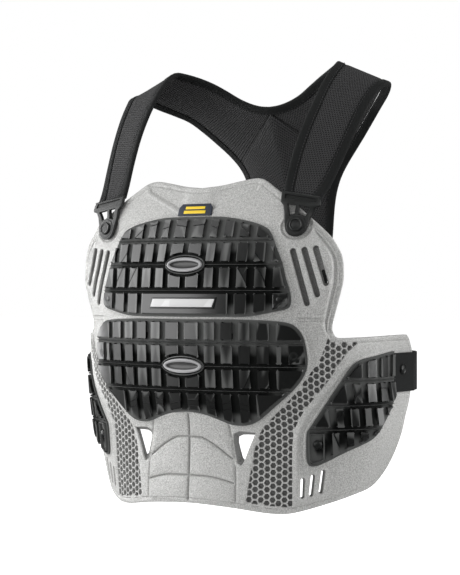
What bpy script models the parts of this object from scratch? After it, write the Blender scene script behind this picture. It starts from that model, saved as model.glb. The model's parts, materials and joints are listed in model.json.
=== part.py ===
# Chest protector: a moulded foam shell with hard tiled plates, hung from padded shoulder straps.
# The shell, plates, buckles and tabs are drawn flat on a pattern and then wrapped round the torso.
# On the pattern, x runs round the body from its centre line, y runs up and z stands out of the surface.
# Pattern sizes and stations are in millimetres and MM turns them into metres.
import math

import bmesh
import bpy
import numpy as np
from mathutils import Matrix, Vector

MM = 0.001

# The origin lies between the tops of the straps, where they rest on the shoulders.
SHOULDER_BACK = 165.0
SHOULDER_UP = 250.0

# The torso at seven heights. Its half section turns by run / radius, and more quickly toward the side.
# height, set_back, radius, tighten
LEVELS = (
    (125, 41, 800, 1.0),
    (70, 17, 560, 1.0),
    (10, 0, 330, -1.0),
    (-60, -4, 345, 4.3),
    (-110, -1, 350, 5.0),
    (-180, 9, 310, 3.6),
    (-270, 3, 215, 3.4),
)
SIDE_ANGLE = math.radians(84)
SECTION_STEPS = 64

SHELL_THICK = 6.0
# The rear ends of the side plate, the tab's outer leaf and the wing.
SIDE_PLATE_END = 271.5
TAB_CLEAR = 2.0
TAB_FRONT = SIDE_PLATE_END + TAB_CLEAR
WING_END = 320.5
SHELL_CELL_ACROSS = 16.5
SHELL_CELL_UP = 28.0
# Right half of the shell's edge, from the neck notch round the wing to the hem.
# across, up
SHELL_EDGE = (
    (0, 113.5), (24, 116), (48, 120.5), (64, 123.2), (73, 123.2), (82, 120), (104, 105.5),
    (126, 90), (147, 74.5), (169, 56), (179, 43.5), (185.5, 31.5), (188, 17.5), (188.2, 4),
    (186, -9), (182.3, -27), (179, -44), (179, -53), (183, -59.5), (195, -60.5), (240, -59.5),
    (296, -58.7), (306, -60), (313.5, -68), (WING_END - 0.5, -80), (WING_END, -95), (318, -112), (313, -128),
    (303, -143), (291, -157), (277, -180), (265, -202), (252, -220), (232, -235.5),
    (201, -244), (159, -254.5), (131, -261), (116, -262.5), (96, -261.5), (58, -256.5),
    (20, -253.5), (0, -253),
)

# Straight slots on the right half: two ends and a width. The first three are pockets in the chest, the last of them
# cut through at its lower end, and the rest go through the wing.
# across_1, up_1, across_2, up_2, width
POCKET_FLOOR = 1.4
POCKETS = (
    (128.5, 38, 147.5, -21, 6.5),
    (141.5, 39.5, 159, -11, 6.5),
    (154.5, 41, 168.5, 2, 6.5),
)
SLOTS = (
    (164.6, 15.5, 168.6, 3.2, 3.8),
    (137.2, -223.5, 137.2, -242, 5.0),
    (149.0, -219.5, 147.5, -240, 5.0),
    (161.0, -214.5, 159.0, -236.5, 5.0),
)
# The openings with three straight sides beside the stomach, right half.
WINDOW = ((57, -171), (80.5, -169.5), (81.5, -171.5), (75, -186.5), (67.5, -205.5), (63, -205.8), (60, -201))

PLATE_UNDER = 1.0
PLATE_FLOOR = 2.8
PLATE_TOP = 6.6
TILE_DRAFT = 1.5
GROOVE = 2.6
BACK_CELL = 20.0
WIDE_CELL = 36.0

UPPER_EDGE = (
    (0, 79), (30, 79), (48, 77.5), (65, 74.5), (82, 70.5), (95, 65), (101, 58.5), (106, 50),
    (112, 37), (118, 24.5), (123, 7), (128.5, -9), (129.5, -20.5), (126, -27), (112, -30.5),
    (100, -33), (82, -36), (60, -36.6), (0, -36.8),
)
# Rows of tiles from the top: the columns are the upright groove centres on the right half, mirrored.
# bottom, top, columns
UPPER_ROWS = (
    (51.5, 80, (0, 23.5, 41.5, 61, 81.5, 104)),
    (23.2, 51.5, (0, 23.5, 41.5, 61, 81.5, 102)),
    (-6.7, 23.2, (0, 23.5, 42, 62, 83, 104.5)),
    (-38, -6.7, (61, 83, 105)),
)
LOWER_EDGE = (
    (0, -40), (67, -39.7), (113.5, -41.5), (132, -45.5), (142, -56), (146, -68), (148, -84),
    (146, -98), (136.5, -113.5), (122, -127.5), (103.5, -143), (90, -154), (78, -160),
    (66, -161.5), (54, -160), (40, -155), (21, -149), (0, -146.8),
)
LOWER_ROWS = (
    (-66.5, -39, (0, 25.5, 46, 67, 87.5, 109.5)),
    (-93.5, -66.5, (0, 25.5, 46, 67, 87.5, 109, 123)),
    (-121.5, -93.5, (0, 25.5, 46, 67, 87.5, 109)),
    (-163, -121.5, (0, 24, 44, 64, 85)),
)
SIDE_EDGE = (
    (SIDE_PLATE_END, -77.5), (255.5, -79), (231, -82.5), (217.5, -84.6), (207, -88.2), (198, -94.6),
    (190.5, -104), (183, -114), (171, -129), (153, -152.8), (145, -163.6), (141.3, -169.7),
    (140.4, -185), (141, -200.5), (144.6, -206.7), (153, -206.8), (167, -200.8), (187.5, -191.3),
    (209.5, -183), (222, -177.2), (232, -169), (239.5, -160.3), (256, -144.5), (SIDE_PLATE_END, -131),
)
SIDE_ROWS = (
    (-109.8, -77, (214.5, 235, 258)),
    (-138.2, -109.8, (194.5, 213, 232.5, 253)),
    (-165.6, -138.2, (171.5, 188.5, 206.5, 223.5, 241)),
    (-208, -165.6, (165.5, 182, 199.5, 218)),
)

# Oval rings in the middle of the plates.
# up, half_length, half_height
BADGES = {"upper_badge": (23.2, 23.2, 8.4), "lower_badge": (-93.5, 25.0, 8.4)}
BADGE_BAND = 4.2
BADGE_MARGIN = 3.2
BADGE_SIDES = 24
BADGE_HEIGHT = 4.4

PIECE_GAP = 0.35
NAME_BAR = (44.0, -21.0, 6.5)
NAME_BAR_THICK = 1.2
PATCH_EDGE = ((22.5, 80.4), (22.5, 90.0), (18.5, 94.5), (-18.5, 94.5), (-22.5, 90.0), (-22.5, 80.4))
PATCH_THICK = 1.4

# Round fixings on the right half: across, up, depth of the seat, radius, height.
FIXINGS = {
    "upper_rivet": (116.3, -17.0, PLATE_FLOOR, 5.0, 3.4),
    "lower_screw": (132.5, -81.0, PLATE_FLOOR, 5.6, 2.8),
    "side_rivet": (153.5, -182.3, PLATE_FLOOR, 5.4, 3.4),
    "buckle_rivet": (130.0, 68.0, 5.0, 7.6, 2.2),
    "tab_snap": (TAB_FRONT + 18.5, -99.0, 2.6, 6.0, 1.8),
}
FIXING_SIDES = 12

# The buckle: bar above, tongue below, one round end on the shell, two openings with a rib between.
BUCKLE_THICK = 4.0
BUCKLE_SEAT = 0.6
BUCKLE_BAR_LIFT = 4.2
BUCKLE_EDGE = (
    (107.5, 106.0), (109.0, 107.2), (151.0, 100.4), (153.2, 98.6), (155.5, 90.5), (154.0, 88.0),
    (149.5, 86.5), (144.3, 72.5), (143.2, 65.0), (139.8, 58.6), (134.5, 55.2), (129.0, 54.4),
    (123.5, 56.0), (118.8, 60.4), (116.6, 66.5), (115.2, 74.0), (112.0, 90.5), (108.3, 94.5),
)
BUCKLE_WINDOWS = (
    ((117.8, 91.6), (126.5, 90.2), (126.3, 80.5), (120.6, 79.0)),
    ((131.0, 89.5), (144.0, 87.4), (139.2, 78.2), (131.4, 80.3)),
)
BAR_START = 80.0
BAR_END = 93.0

# The strap and the yoke, right half. Each row is one cut across them, from the bar over the shoulder
# to the foot of the tail; the in point lies on the neck edge or the centre line, the out point on the arm edge.
# in_x, in_y, in_z, out_x, out_y, out_z
STATIONS = (
    (108.5, 39.0, 105, 152.5, 46.0, 97),
    (108.0, 45.0, 121, 157.5, 63.0, 115),
    (109.0, 58.0, 150, 163.5, 84.0, 147),
    (111.0, 76.0, 181, 168.5, 104.0, 178),
    (113.0, 98.0, 210, 173.0, 126.0, 208),
    (113.5, 119.0, 234, 177.5, 147.0, 229),
    (114.5, 142.0, 255, 181.0, 160.0, 237),
    (113.5, 163.0, 268, 180.0, 175.0, 239),
    (104.5, 176.0, 267.5, 173.0, 189.0, 234),
    (90.0, 186.0, 262.5, 163.0, 203.0, 228),
    (75.0, 192.5, 255.5, 151.0, 218.0, 222),
    (59.0, 197.0, 246, 137.0, 234.0, 214),
    (43.0, 200.5, 236, 121.5, 246.0, 200),
    (27.5, 201.5, 229, 106.5, 255.5, 185),
    (13.0, 201.0, 224.8, 92.0, 263.0, 170),
    (0.0, 200.5, 223.4, 79.5, 267.0, 155),
    (0.0, 221.0, 187, 70.0, 267.5, 139),
    (0.0, 241.0, 149, 65.0, 265.0, 122),
    (0.0, 254.0, 107, 62.0, 262.0, 98),
    (0.0, 263.0, 55, 56.5, 265.0, 50),
    (0.0, 266.5, 0, 48.5, 267.0, 0),
    (0.0, 267.5, -62, 45.5, 267.0, -62),
    (0.0, 265.5, -127, 44.5, 265.5, -127),
)
NECK_ROWS = 16
SHEET_THICK = 4.0
SHEET_ACROSS = 3
TAPE_WIDTH = 10.8
TAPE_SEAM = 0.5
# Half of the tape's section: inward along the sheet from its middle, and half thickness.
TAPE_SECTION = ((5.4, -2.5), (5.4, 2.5), (-3.2, 2.7), (-5.4, 1.1), (-5.4, -1.1), (-3.2, -2.7))

BELT_HEIGHT = 46.0
BELT_THICK = 2.4
BELT_UP = -103.0
BELT_BACK = 273.6
BELT_ROUND = 2.25
BELT_STEPS = 26
TAB_TOP = BELT_UP + BELT_HEIGHT / 2
TAB_BOTTOM = BELT_UP - BELT_HEIGHT / 2
TAB_LEAN = 7.0
TAB_FOLD = WING_END + 6.5
TAB_INNER = TAB_FRONT + 22.5
TAB_SECTION = (
    (TAB_FRONT, 0.6), (TAB_FRONT, 2.5), (TAB_FOLD - 3.5, 2.5), (TAB_FOLD - 0.8, 0.4), (TAB_FOLD, -3.0),
    (TAB_FOLD - 0.8, -6.6), (TAB_FOLD - 3.5, -8.8), (TAB_INNER, -8.8), (TAB_INNER, -6.7),
    (TAB_FOLD - 4.0, -6.7), (TAB_FOLD - 2.6, -4.6), (TAB_FOLD - 2.6, -1.4), (TAB_FOLD - 4.0, 0.6),
)
BELT_CLEAR = 0.6


def make_material(name, colour, roughness):
    """A plain material without metal."""
    material = bpy.data.materials.new(name)
    material.use_nodes = True
    shader = material.node_tree.nodes["Principled BSDF"]
    shader.inputs["Base Color"].default_value = (*colour, 1.0)
    shader.inputs["Roughness"].default_value = roughness
    shader.inputs["Metallic"].default_value = 0.0
    material.diffuse_color = (*colour, 1.0)
    return material


def level_values(height):
    """Set back, bend and tightening at each height, on a smooth curve through the levels."""
    table = np.array(LEVELS[::-1], float)
    table[:, 2] = 1.0 / table[:, 2]
    knots = table[:, 0]
    gaps = np.diff(knots)
    place = np.clip(height, knots[0] - 15.0, knots[-1] + 20.0)
    index = np.clip(np.searchsorted(knots, place) - 1, 0, len(gaps) - 1)
    t = (place - knots[index]) / gaps[index]
    values = []
    for column in (1, 2, 3):
        value = table[:, column]
        rise = np.diff(value) / gaps
        slope = np.empty(len(knots))
        slope[0] = rise[0]
        slope[-1] = rise[-1]
        for k in range(1, len(knots) - 1):
            before, after = rise[k - 1], rise[k]
            if before * after <= 0.0:
                slope[k] = 0.0
                continue
            weight_1 = 2.0 * gaps[k] + gaps[k - 1]
            weight_2 = gaps[k] + 2.0 * gaps[k - 1]
            slope[k] = (weight_1 + weight_2) / (weight_1 / before + weight_2 / after)
        start, end = value[index], value[index + 1]
        start_slope = slope[index] * gaps[index]
        end_slope = slope[index + 1] * gaps[index]
        values.append(
            start * (2 * t**3 - 3 * t**2 + 1)
            + start_slope * (t**3 - 2 * t**2 + t)
            + end * (3 * t**2 - 2 * t**3)
            + end_slope * (t**3 - t**2)
        )
    return values


def wrap(points):
    """Pattern points (across, up, out) in millimetres to places round the torso in metres."""
    across, up, out = np.asarray(points, float).reshape(-1, 3).T
    set_back, bend, tighten = level_values(up)
    length = np.abs(across)
    share = (np.arange(SECTION_STEPS) + 0.5) / SECTION_STEPS
    run = length[:, None] * share[None, :]
    angle = bend[:, None] * run + tighten[:, None] * 1e-8 * run**3
    angle = np.minimum(angle, SIDE_ANGLE)
    side = np.sign(across)
    end_angle = np.minimum(bend * length + tighten * 1e-8 * length**3, SIDE_ANGLE)
    x = side * (length * np.cos(angle).mean(axis=1) + out * np.sin(end_angle))
    y = set_back + length * np.sin(angle).mean(axis=1) - out * np.cos(end_angle)
    placed = np.stack([x, y - SHOULDER_BACK, up - SHOULDER_UP], axis=1)
    return placed * MM


def torso_place(x, y, z):
    """A station in millimetres, measured from the chest's front, in the object's own metres."""
    return Vector((x * MM, (y - SHOULDER_BACK) * MM, (z - SHOULDER_UP) * MM))


def surface_matrix(across, up, out):
    """A rigid frame on the wrapped surface: x round the body, y up, z outward."""
    points = wrap([(across - 1, up, out), (across + 1, up, out), (across, up - 1, out), (across, up + 1, out)])
    centre = Vector(wrap([(across, up, out)])[0])
    along = Vector(points[1] - points[0]).normalized()
    rise = Vector(points[3] - points[2])
    outward = along.cross(rise).normalized()
    upward = outward.cross(along).normalized()
    frame = Matrix((along, upward, outward)).transposed().to_4x4()
    return Matrix.Translation(centre) @ frame


def full_edge(right_half):
    """The whole outline from its right half, both ends of which lie on the centre line."""
    left_half = [(-across, up) for across, up in reversed(right_half[1:-1])]
    return list(right_half) + left_half


def add_face(bm, outline, depth=0.0):
    """One flat face on the pattern."""
    verts = [bm.verts.new((across, up, depth)) for across, up in outline]
    face = bm.faces.new(verts)
    bm.normal_update()
    if face.normal.z < 0.0:
        face.normal_flip()
    return face


def cut_line(bm, faces, point, normal):
    """Cuts the given faces along one straight line of the pattern."""
    edges = {edge for face in faces for edge in face.edges}
    verts = {vert for face in faces for vert in face.verts}
    geometry = list(verts) + list(edges) + list(faces)
    bmesh.ops.bisect_plane(bm, geom=geometry, dist=0.01, plane_co=point, plane_no=normal)


def cut_grid(bm, across_lines, up_lines):
    """Cuts the whole pattern along straight lines."""
    for across in across_lines:
        cut_line(bm, bm.faces[:], (across, 0, 0), (1, 0, 0))
    for up in up_lines:
        cut_line(bm, bm.faces[:], (0, up, 0), (0, 1, 0))


def spaced(low, high, step):
    """Evenly spaced values strictly between two ends."""
    count = max(1, round((high - low) / step))
    return [low + (high - low) * k / count for k in range(1, count)]


def thicken(bm, low, high):
    """Turns the flat pattern into a slab between two depths."""
    for vert in bm.verts:
        vert.co.z = low
    made = bmesh.ops.extrude_face_region(bm, geom=bm.faces[:])["geom"]
    moved = [item for item in made if isinstance(item, bmesh.types.BMVert)]
    bmesh.ops.translate(bm, verts=moved, vec=(0, 0, high - low))
    bmesh.ops.recalc_face_normals(bm, faces=bm.faces[:])


def add_prism(bm, outline, low, high):
    """A separate closed prism on the pattern, for cutting."""
    lower = [bm.verts.new((across, up, low)) for across, up in outline]
    upper = [bm.verts.new((across, up, high)) for across, up in outline]
    bm.faces.new(list(reversed(lower)))
    bm.faces.new(upper)
    count = len(outline)
    for k in range(count):
        after = (k + 1) % count
        bm.faces.new((lower[k], lower[after], upper[after], upper[k]))
    bmesh.ops.recalc_face_normals(bm, faces=bm.faces[:])


def slot_outline(across_1, up_1, across_2, up_2, width):
    """A long hole with round ends."""
    start, end = Vector((across_1, up_1)), Vector((across_2, up_2))
    turn = math.atan2(end.y - start.y, end.x - start.x)
    points = []
    for centre, first in ((end, turn - math.pi / 2), (start, turn + math.pi / 2)):
        for k in range(5):
            angle = first + math.pi * k / 4
            points.append((centre.x + math.cos(angle) * width / 2, centre.y + math.sin(angle) * width / 2))
    return points


def ellipse_outline(up, half_length, half_height, sides):
    """An oval on the centre line."""
    turn = 2 * math.pi / sides
    return [(half_length * math.cos(turn * k), up + half_height * math.sin(turn * k)) for k in range(sides)]


def carve(bm, outlines, low, high):
    """Cuts prisms out of the slab and returns the result."""
    target = bpy.data.objects.new("target", bpy.data.meshes.new("target"))
    cutter = bpy.data.objects.new("cutter", bpy.data.meshes.new("cutter"))
    bm.to_mesh(target.data)
    bm.free()
    tool = bmesh.new()
    for outline in outlines:
        add_prism(tool, outline, low, high)
    tool.to_mesh(cutter.data)
    tool.free()
    for helper in (target, cutter):
        bpy.context.scene.collection.objects.link(helper)
    modifier = target.modifiers.new("cut", "BOOLEAN")
    modifier.operation = "DIFFERENCE"
    modifier.solver = "EXACT"
    modifier.object = cutter
    bpy.context.view_layer.update()
    graph = bpy.context.evaluated_depsgraph_get()
    result = bmesh.new()
    result.from_mesh(target.evaluated_get(graph).data)
    bpy.data.objects.remove(target)
    bpy.data.objects.remove(cutter)
    bmesh.ops.dissolve_degenerate(result, dist=0.005, edges=result.edges[:])
    return result


def wrap_pattern(bm, lift=None):
    """Moves the finished flat solid round the torso."""
    bmesh.ops.triangulate(bm, faces=[face for face in bm.faces if len(face.verts) > 4])
    bm.verts.ensure_lookup_table()
    points = np.array([vert.co[:] for vert in bm.verts])
    if lift is not None:
        points[:, 2] += np.array([lift(point) for point in points])
    for vert, place in zip(bm.verts, wrap(points)):
        vert.co = place


def new_object(name, bm, material, smooth=None):
    """Puts the mesh in the scene as one named object."""
    bmesh.ops.recalc_face_normals(bm, faces=bm.faces[:])
    if bm.calc_volume(signed=True) < 0.0:
        bmesh.ops.reverse_faces(bm, faces=bm.faces[:])
    mesh = bpy.data.meshes.new(name)
    bm.to_mesh(mesh)
    bm.free()
    if smooth is not None:
        mesh.shade_smooth()
        mesh.set_sharp_from_angle(angle=math.radians(smooth))
    mesh.materials.append(material)
    made = bpy.data.objects.new(name, mesh)
    bpy.context.scene.collection.objects.link(made)
    return made


def mirrored_copy(bm):
    """The same solid on the other side of the centre line."""
    other = bm.copy()
    bmesh.ops.scale(other, vec=(-1, 1, 1), verts=other.verts[:])
    bmesh.ops.reverse_faces(other, faces=other.faces[:])
    return other


def both_sides(outlines):
    """The outlines with their mirrored copies."""
    return outlines + [[(-across, up) for across, up in reversed(outline)] for outline in outlines]


def make_shell(material):
    """The foam front with its wings, slots and windows."""
    bm = bmesh.new()
    edge = full_edge(SHELL_EDGE)
    add_face(bm, edge)
    reach = max(across for across, up in edge)
    top = max(up for across, up in edge)
    bottom = min(up for across, up in edge)
    cut_grid(bm, spaced(-reach, reach, SHELL_CELL_ACROSS), spaced(bottom, top, SHELL_CELL_UP))
    thicken(bm, -SHELL_THICK, 0.0)
    bm = carve(bm, both_sides([slot_outline(*pocket) for pocket in POCKETS]), POCKET_FLOOR - SHELL_THICK, 4.0)
    through = [slot_outline(*slot) for slot in SLOTS] + [list(WINDOW)]
    bm = carve(bm, both_sides(through), -SHELL_THICK - 4.0, 4.0)
    wrap_pattern(bm)
    return new_object("shell", bm, material, 35)


def tiled_plate(edge, rows, mirrored):
    """A plate whose cells between the grooves stand up as bevelled tiles."""
    bm = bmesh.new()
    add_face(bm, edge)
    half = GROOVE / 2
    breaks = sorted(bottom for bottom, top, columns in rows)[1:]
    for level in breaks:
        cut_grid(bm, (), (level - half, level + half))
    grooves = {}
    for bottom, top, columns in rows:
        lines = set(columns)
        if mirrored:
            lines |= {-across for across in columns}
        grooves[(bottom, top)] = sorted(lines)
        for across in sorted(lines):
            for side in (-half, half):
                inside = [face for face in bm.faces if bottom < face.calc_center_median().y < top]
                inside = [face for face in inside if not near(face.calc_center_median().y, breaks, half)]
                cut_line(bm, inside, (across + side, 0, 0), (1, 0, 0))
    thicken(bm, PLATE_UNDER, PLATE_FLOOR)
    tiles = []
    for face in bm.faces:
        centre = face.calc_center_bounds()
        if face.normal.z < 0.5 or centre.z < PLATE_FLOOR - 0.01 or near(centre.y, breaks, half):
            continue
        for (bottom, top), lines in grooves.items():
            if bottom < centre.y < top and not near(centre.x, lines, half):
                if face.calc_area() > 60.0 and not in_pocket(centre):
                    tiles.append(face)
    bmesh.ops.inset_individual(
        bm, faces=tiles, thickness=TILE_DRAFT, depth=PLATE_TOP - PLATE_FLOOR, use_even_offset=True
    )
    low_edge = min(up for across, up in edge)
    high_edge = max(up for across, up in edge)
    for level in spaced(low_edge, high_edge, BACK_CELL):
        backs = [face for face in bm.faces if face.calc_center_bounds().z < PLATE_UNDER + 0.01]
        cut_line(bm, backs, (0, level, 0), (0, 1, 0))
    reach = max(abs(across) for across, up in edge)
    for line in spaced(-reach, reach, WIDE_CELL / 2):
        wide = [face for face in bm.faces if face_width(face) > WIDE_CELL]
        cut_line(bm, wide, (line, 0, 0), (1, 0, 0))
    return bm


def face_width(face):
    """How far a face reaches round the body."""
    places = [vert.co.x for vert in face.verts]
    return max(places) - min(places)


def near(value, lines, reach):
    """Whether a value lies within reach of any of the lines."""
    return any(abs(value - line) < reach for line in lines)


def in_pocket(centre):
    """Whether a cell holds one of the plate fixings."""
    for name in ("upper_rivet", "lower_screw", "side_rivet"):
        across, up = FIXINGS[name][:2]
        if abs(abs(centre.x) - across) < 9.0 and abs(centre.y - up) < 14.0:
            return True
    return False


def make_plates(material):
    """The chest, stomach and side plates."""
    for name, edge, rows, badge in (
        ("upper_plate", UPPER_EDGE, UPPER_ROWS, "upper_badge"),
        ("lower_plate", LOWER_EDGE, LOWER_ROWS, "lower_badge"),
    ):
        bm = tiled_plate(full_edge(edge), rows, True)
        up, half_length, half_height = BADGES[badge]
        seat = ellipse_outline(up, half_length + BADGE_MARGIN, half_height + BADGE_MARGIN, BADGE_SIDES)
        bm = carve(bm, [seat], PLATE_FLOOR - 0.3, PLATE_TOP + 2.0)
        wrap_pattern(bm)
        new_object(name, bm, material, 25)
    right = tiled_plate(SIDE_EDGE, SIDE_ROWS, False)
    left = mirrored_copy(right)
    for name, bm in (("side_plate_left", right), ("side_plate_right", left)):
        wrap_pattern(bm)
        new_object(name, bm, material, 25)


def make_badges(material):
    """Flat rings with rounded shoulders."""
    for name, (up, half_length, half_height) in BADGES.items():
        low = PLATE_FLOOR - 0.3 + PIECE_GAP
        high = low + BADGE_HEIGHT
        section = ((0.0, low), (0.9, high), (BADGE_BAND - 0.9, high), (BADGE_BAND, low))
        bm = bmesh.new()
        rings = []
        for inward, depth in section:
            outline = ellipse_outline(up, half_length - inward, half_height - inward, BADGE_SIDES)
            rings.append([bm.verts.new((across, height, depth)) for across, height in outline])
        for k, ring in enumerate(rings):
            following = rings[(k + 1) % len(rings)]
            for j in range(BADGE_SIDES):
                after = (j + 1) % BADGE_SIDES
                bm.faces.new((ring[j], ring[after], following[after], following[j]))
        wrap_pattern(bm)
        new_object(name, bm, material, 50)


def make_flat_piece(name, edge, low, high, across_lines, material, bevel):
    """A thin plain piece that follows the surface."""
    bm = bmesh.new()
    add_face(bm, edge)
    cut_grid(bm, across_lines, ())
    thicken(bm, low, high)
    rim = [e for e in bm.edges if e.is_manifold and e.calc_face_angle(0.0) > 1.0 and e.verts[0].co.z > high - 0.01
           and e.verts[1].co.z > high - 0.01]
    bmesh.ops.bevel(bm, geom=rim, offset=bevel, segments=1, profile=0.5, affect="EDGES", material=-1)
    wrap_pattern(bm)
    return new_object(name, bm, material, 30)


def make_fixing(name, side, material, hollow):
    """A round head with a bevelled or hollow top, set square on the surface."""
    across, up, seat, radius, height = FIXINGS[name]
    bm = bmesh.new()
    bmesh.ops.create_cone(bm, cap_ends=True, segments=FIXING_SIDES, radius1=radius * MM, radius2=radius * MM,
                          depth=height * MM)
    bmesh.ops.translate(bm, verts=bm.verts[:], vec=(0, 0, height * MM / 2))
    top = [face for face in bm.faces if face.normal.z > 0.9]
    rim = list(top[0].edges)
    step = min(radius, height) * (0.28 if hollow else 0.45) * MM
    bmesh.ops.bevel(bm, geom=rim, offset=step, segments=1, profile=0.5, affect="EDGES", material=-1)
    if hollow:
        top = [face for face in bm.faces if face.normal.z > 0.9 and len(face.verts) == FIXING_SIDES]
        bmesh.ops.inset_region(bm, faces=top, thickness=radius * 0.3 * MM)
        top = [face for face in bm.faces if face.normal.z > 0.9 and len(face.verts) == FIXING_SIDES]
        bmesh.ops.inset_region(bm, faces=top, thickness=0.2 * MM, depth=-height * 0.5 * MM)
    made = new_object(name + ("_left" if side > 0 else "_right"), bm, material, 40)
    made.matrix_world = surface_matrix(side * across, up, seat + PIECE_GAP)
    return made


def buckle_lift(point):
    """The bar stands farther out than the round end."""
    share = min(max((point[1] - BAR_START) / (BAR_END - BAR_START), 0.0), 1.0)
    return BUCKLE_BAR_LIFT * share * share * (3 - 2 * share)


def make_buckles(material):
    """One moulded buckle on each side of the neck."""
    bm = bmesh.new()
    add_face(bm, BUCKLE_EDGE)
    cut_grid(bm, (130.0,), (72.0, 84.0, 89.0, 94.0))
    thicken(bm, BUCKLE_SEAT, BUCKLE_SEAT + BUCKLE_THICK)
    rim = [e for e in bm.edges if e.is_manifold and e.calc_face_angle(0.0) > 1.0
           and min(e.verts[0].co.z, e.verts[1].co.z) > BUCKLE_SEAT + BUCKLE_THICK - 0.01]
    bmesh.ops.bevel(bm, geom=rim, offset=0.8, segments=1, profile=0.5, affect="EDGES", material=-1)
    bm = carve(bm, [list(window) for window in BUCKLE_WINDOWS], -3.0, 12.0)
    other = mirrored_copy(bm)
    for name, half in (("buckle_left", bm), ("buckle_right", other)):
        wrap_pattern(half, buckle_lift)
        new_object(name, half, material, 30)


def station_points():
    """The stations' in and out points in the object's own metres."""
    inner = [torso_place(*row[:3]) for row in STATIONS]
    outer = [torso_place(*row[3:]) for row in STATIONS]
    return inner, outer


def edge_frames(points, partners, closed_tangent=None):
    """At each point of an edge: the direction into the sheet and the sheet's normal."""
    frames = []
    last = len(points) - 1
    for k, point in enumerate(points):
        tangent = (points[min(k + 1, last)] - points[max(k - 1, 0)]).normalized()
        if closed_tangent is not None and k == last:
            tangent = closed_tangent
        inward = partners[k] - point
        inward = (inward - inward.dot(tangent) * tangent).normalized()
        frames.append((tangent, inward, tangent.cross(inward).normalized()))
    return frames


def make_harness(material):
    """Both straps, the yoke and the tail as one padded sheet inside its taped edges."""
    inner, outer = station_points()
    neck = edge_frames(inner[:NECK_ROWS], outer[:NECK_ROWS], Vector((-1, 0, 0)))
    arm = edge_frames(outer, inner)
    cover = (TAPE_WIDTH + TAPE_SEAM) * MM
    bm = bmesh.new()
    grid = []
    for k in range(len(STATIONS)):
        start = inner[k].copy()
        if k < NECK_ROWS:
            start += neck[k][1] * cover
        end = outer[k] + arm[k][1] * cover
        if k >= NECK_ROWS - 1:
            start.x = 0.0
        row = [start.lerp(end, j / SHEET_ACROSS) for j in range(SHEET_ACROSS + 1)]
        grid.append([bm.verts.new(point) for point in row])
    other = []
    for k, row in enumerate(grid):
        shared = k >= NECK_ROWS - 1
        other.append([row[0] if shared and j == 0 else bm.verts.new((-v.co.x, v.co.y, v.co.z))
                      for j, v in enumerate(row)])
    for k in range(len(grid) - 1):
        for j in range(SHEET_ACROSS):
            bm.faces.new((grid[k][j], grid[k][j + 1], grid[k + 1][j + 1], grid[k + 1][j]))
            bm.faces.new((other[k][j + 1], other[k][j], other[k + 1][j], other[k + 1][j + 1]))
    bmesh.ops.recalc_face_normals(bm, faces=bm.faces[:])
    bm.normal_update()
    half = SHEET_THICK * MM / 2
    for vert, step in [(vert, vert.normal * half) for vert in bm.verts]:
        vert.co += step
    bmesh.ops.solidify(bm, geom=bm.faces[:], thickness=2 * half)
    new_object("harness", bm, material, 40)


def tape_rings(points, frames):
    """The tape's section at each point of an edge."""
    rings = []
    for point, (tangent, inward, normal) in zip(points, frames):
        centre = point + inward * TAPE_WIDTH / 2 * MM
        rings.append([centre + inward * a * MM + normal * b * MM for a, b in TAPE_SECTION])
    return rings


def loft(bm, rings):
    """A closed body through rings of the same number of points."""
    loops = [[bm.verts.new(point) for point in ring] for ring in rings]
    count = len(loops[0])
    for ring, following in zip(loops, loops[1:]):
        for j in range(count):
            after = (j + 1) % count
            bm.faces.new((ring[j], ring[after], following[after], following[j]))
    bm.faces.new(list(reversed(loops[0])))
    bm.faces.new(loops[-1])


def make_bindings(material):
    """Tape along the neck edge and along both arm edges."""
    inner, outer = station_points()
    neck = edge_frames(inner[:NECK_ROWS], outer[:NECK_ROWS], Vector((-1, 0, 0)))
    rings = tape_rings(inner[:NECK_ROWS], neck)
    mirrored = [[Vector((-p.x, p.y, p.z)) for p in ring] for ring in reversed(rings[:-1])]
    bm = bmesh.new()
    loft(bm, rings + mirrored)
    new_object("neck_binding", bm, material, 40)
    rings = tape_rings(outer, edge_frames(outer, inner))
    for name, side in (("arm_binding_left", 1), ("arm_binding_right", -1)):
        bm = bmesh.new()
        loft(bm, [[Vector((side * p.x, p.y, p.z)) for p in ring] for ring in rings])
        new_object(name, bm, material, 40)


def make_belt(material):
    """The elastic belt round the back, from tab to tab."""
    start = wrap([(TAB_FOLD + BELT_CLEAR - TAB_LEAN / 2, BELT_UP, -3.0)])[0]
    reach = start[0]
    depth = (BELT_BACK - SHOULDER_BACK) * MM - start[1]
    points = []
    for k in range(BELT_STEPS + 1):
        angle = math.pi * k / BELT_STEPS
        across, back = math.cos(angle), max(math.sin(angle), 0.0)
        x = math.copysign(abs(across) ** (2 / BELT_ROUND), across) * reach
        y = start[1] + back ** (2 / BELT_ROUND) * depth
        points.append(Vector((x, y, start[2])))
    rings = []
    last = len(points) - 1
    for k, point in enumerate(points):
        tangent = (points[min(k + 1, last)] - points[max(k - 1, 0)]).normalized()
        outward = tangent.cross(Vector((0, 0, 1))).normalized()
        step = outward * BELT_THICK * MM / 2
        rise = Vector((0, 0, BELT_HEIGHT * MM / 2))
        rings.append([point - step - rise, point + step - rise, point + step + rise, point - step + rise])
    bm = bmesh.new()
    loft(bm, rings)
    new_object("waist_belt", bm, material, 40)


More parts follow.
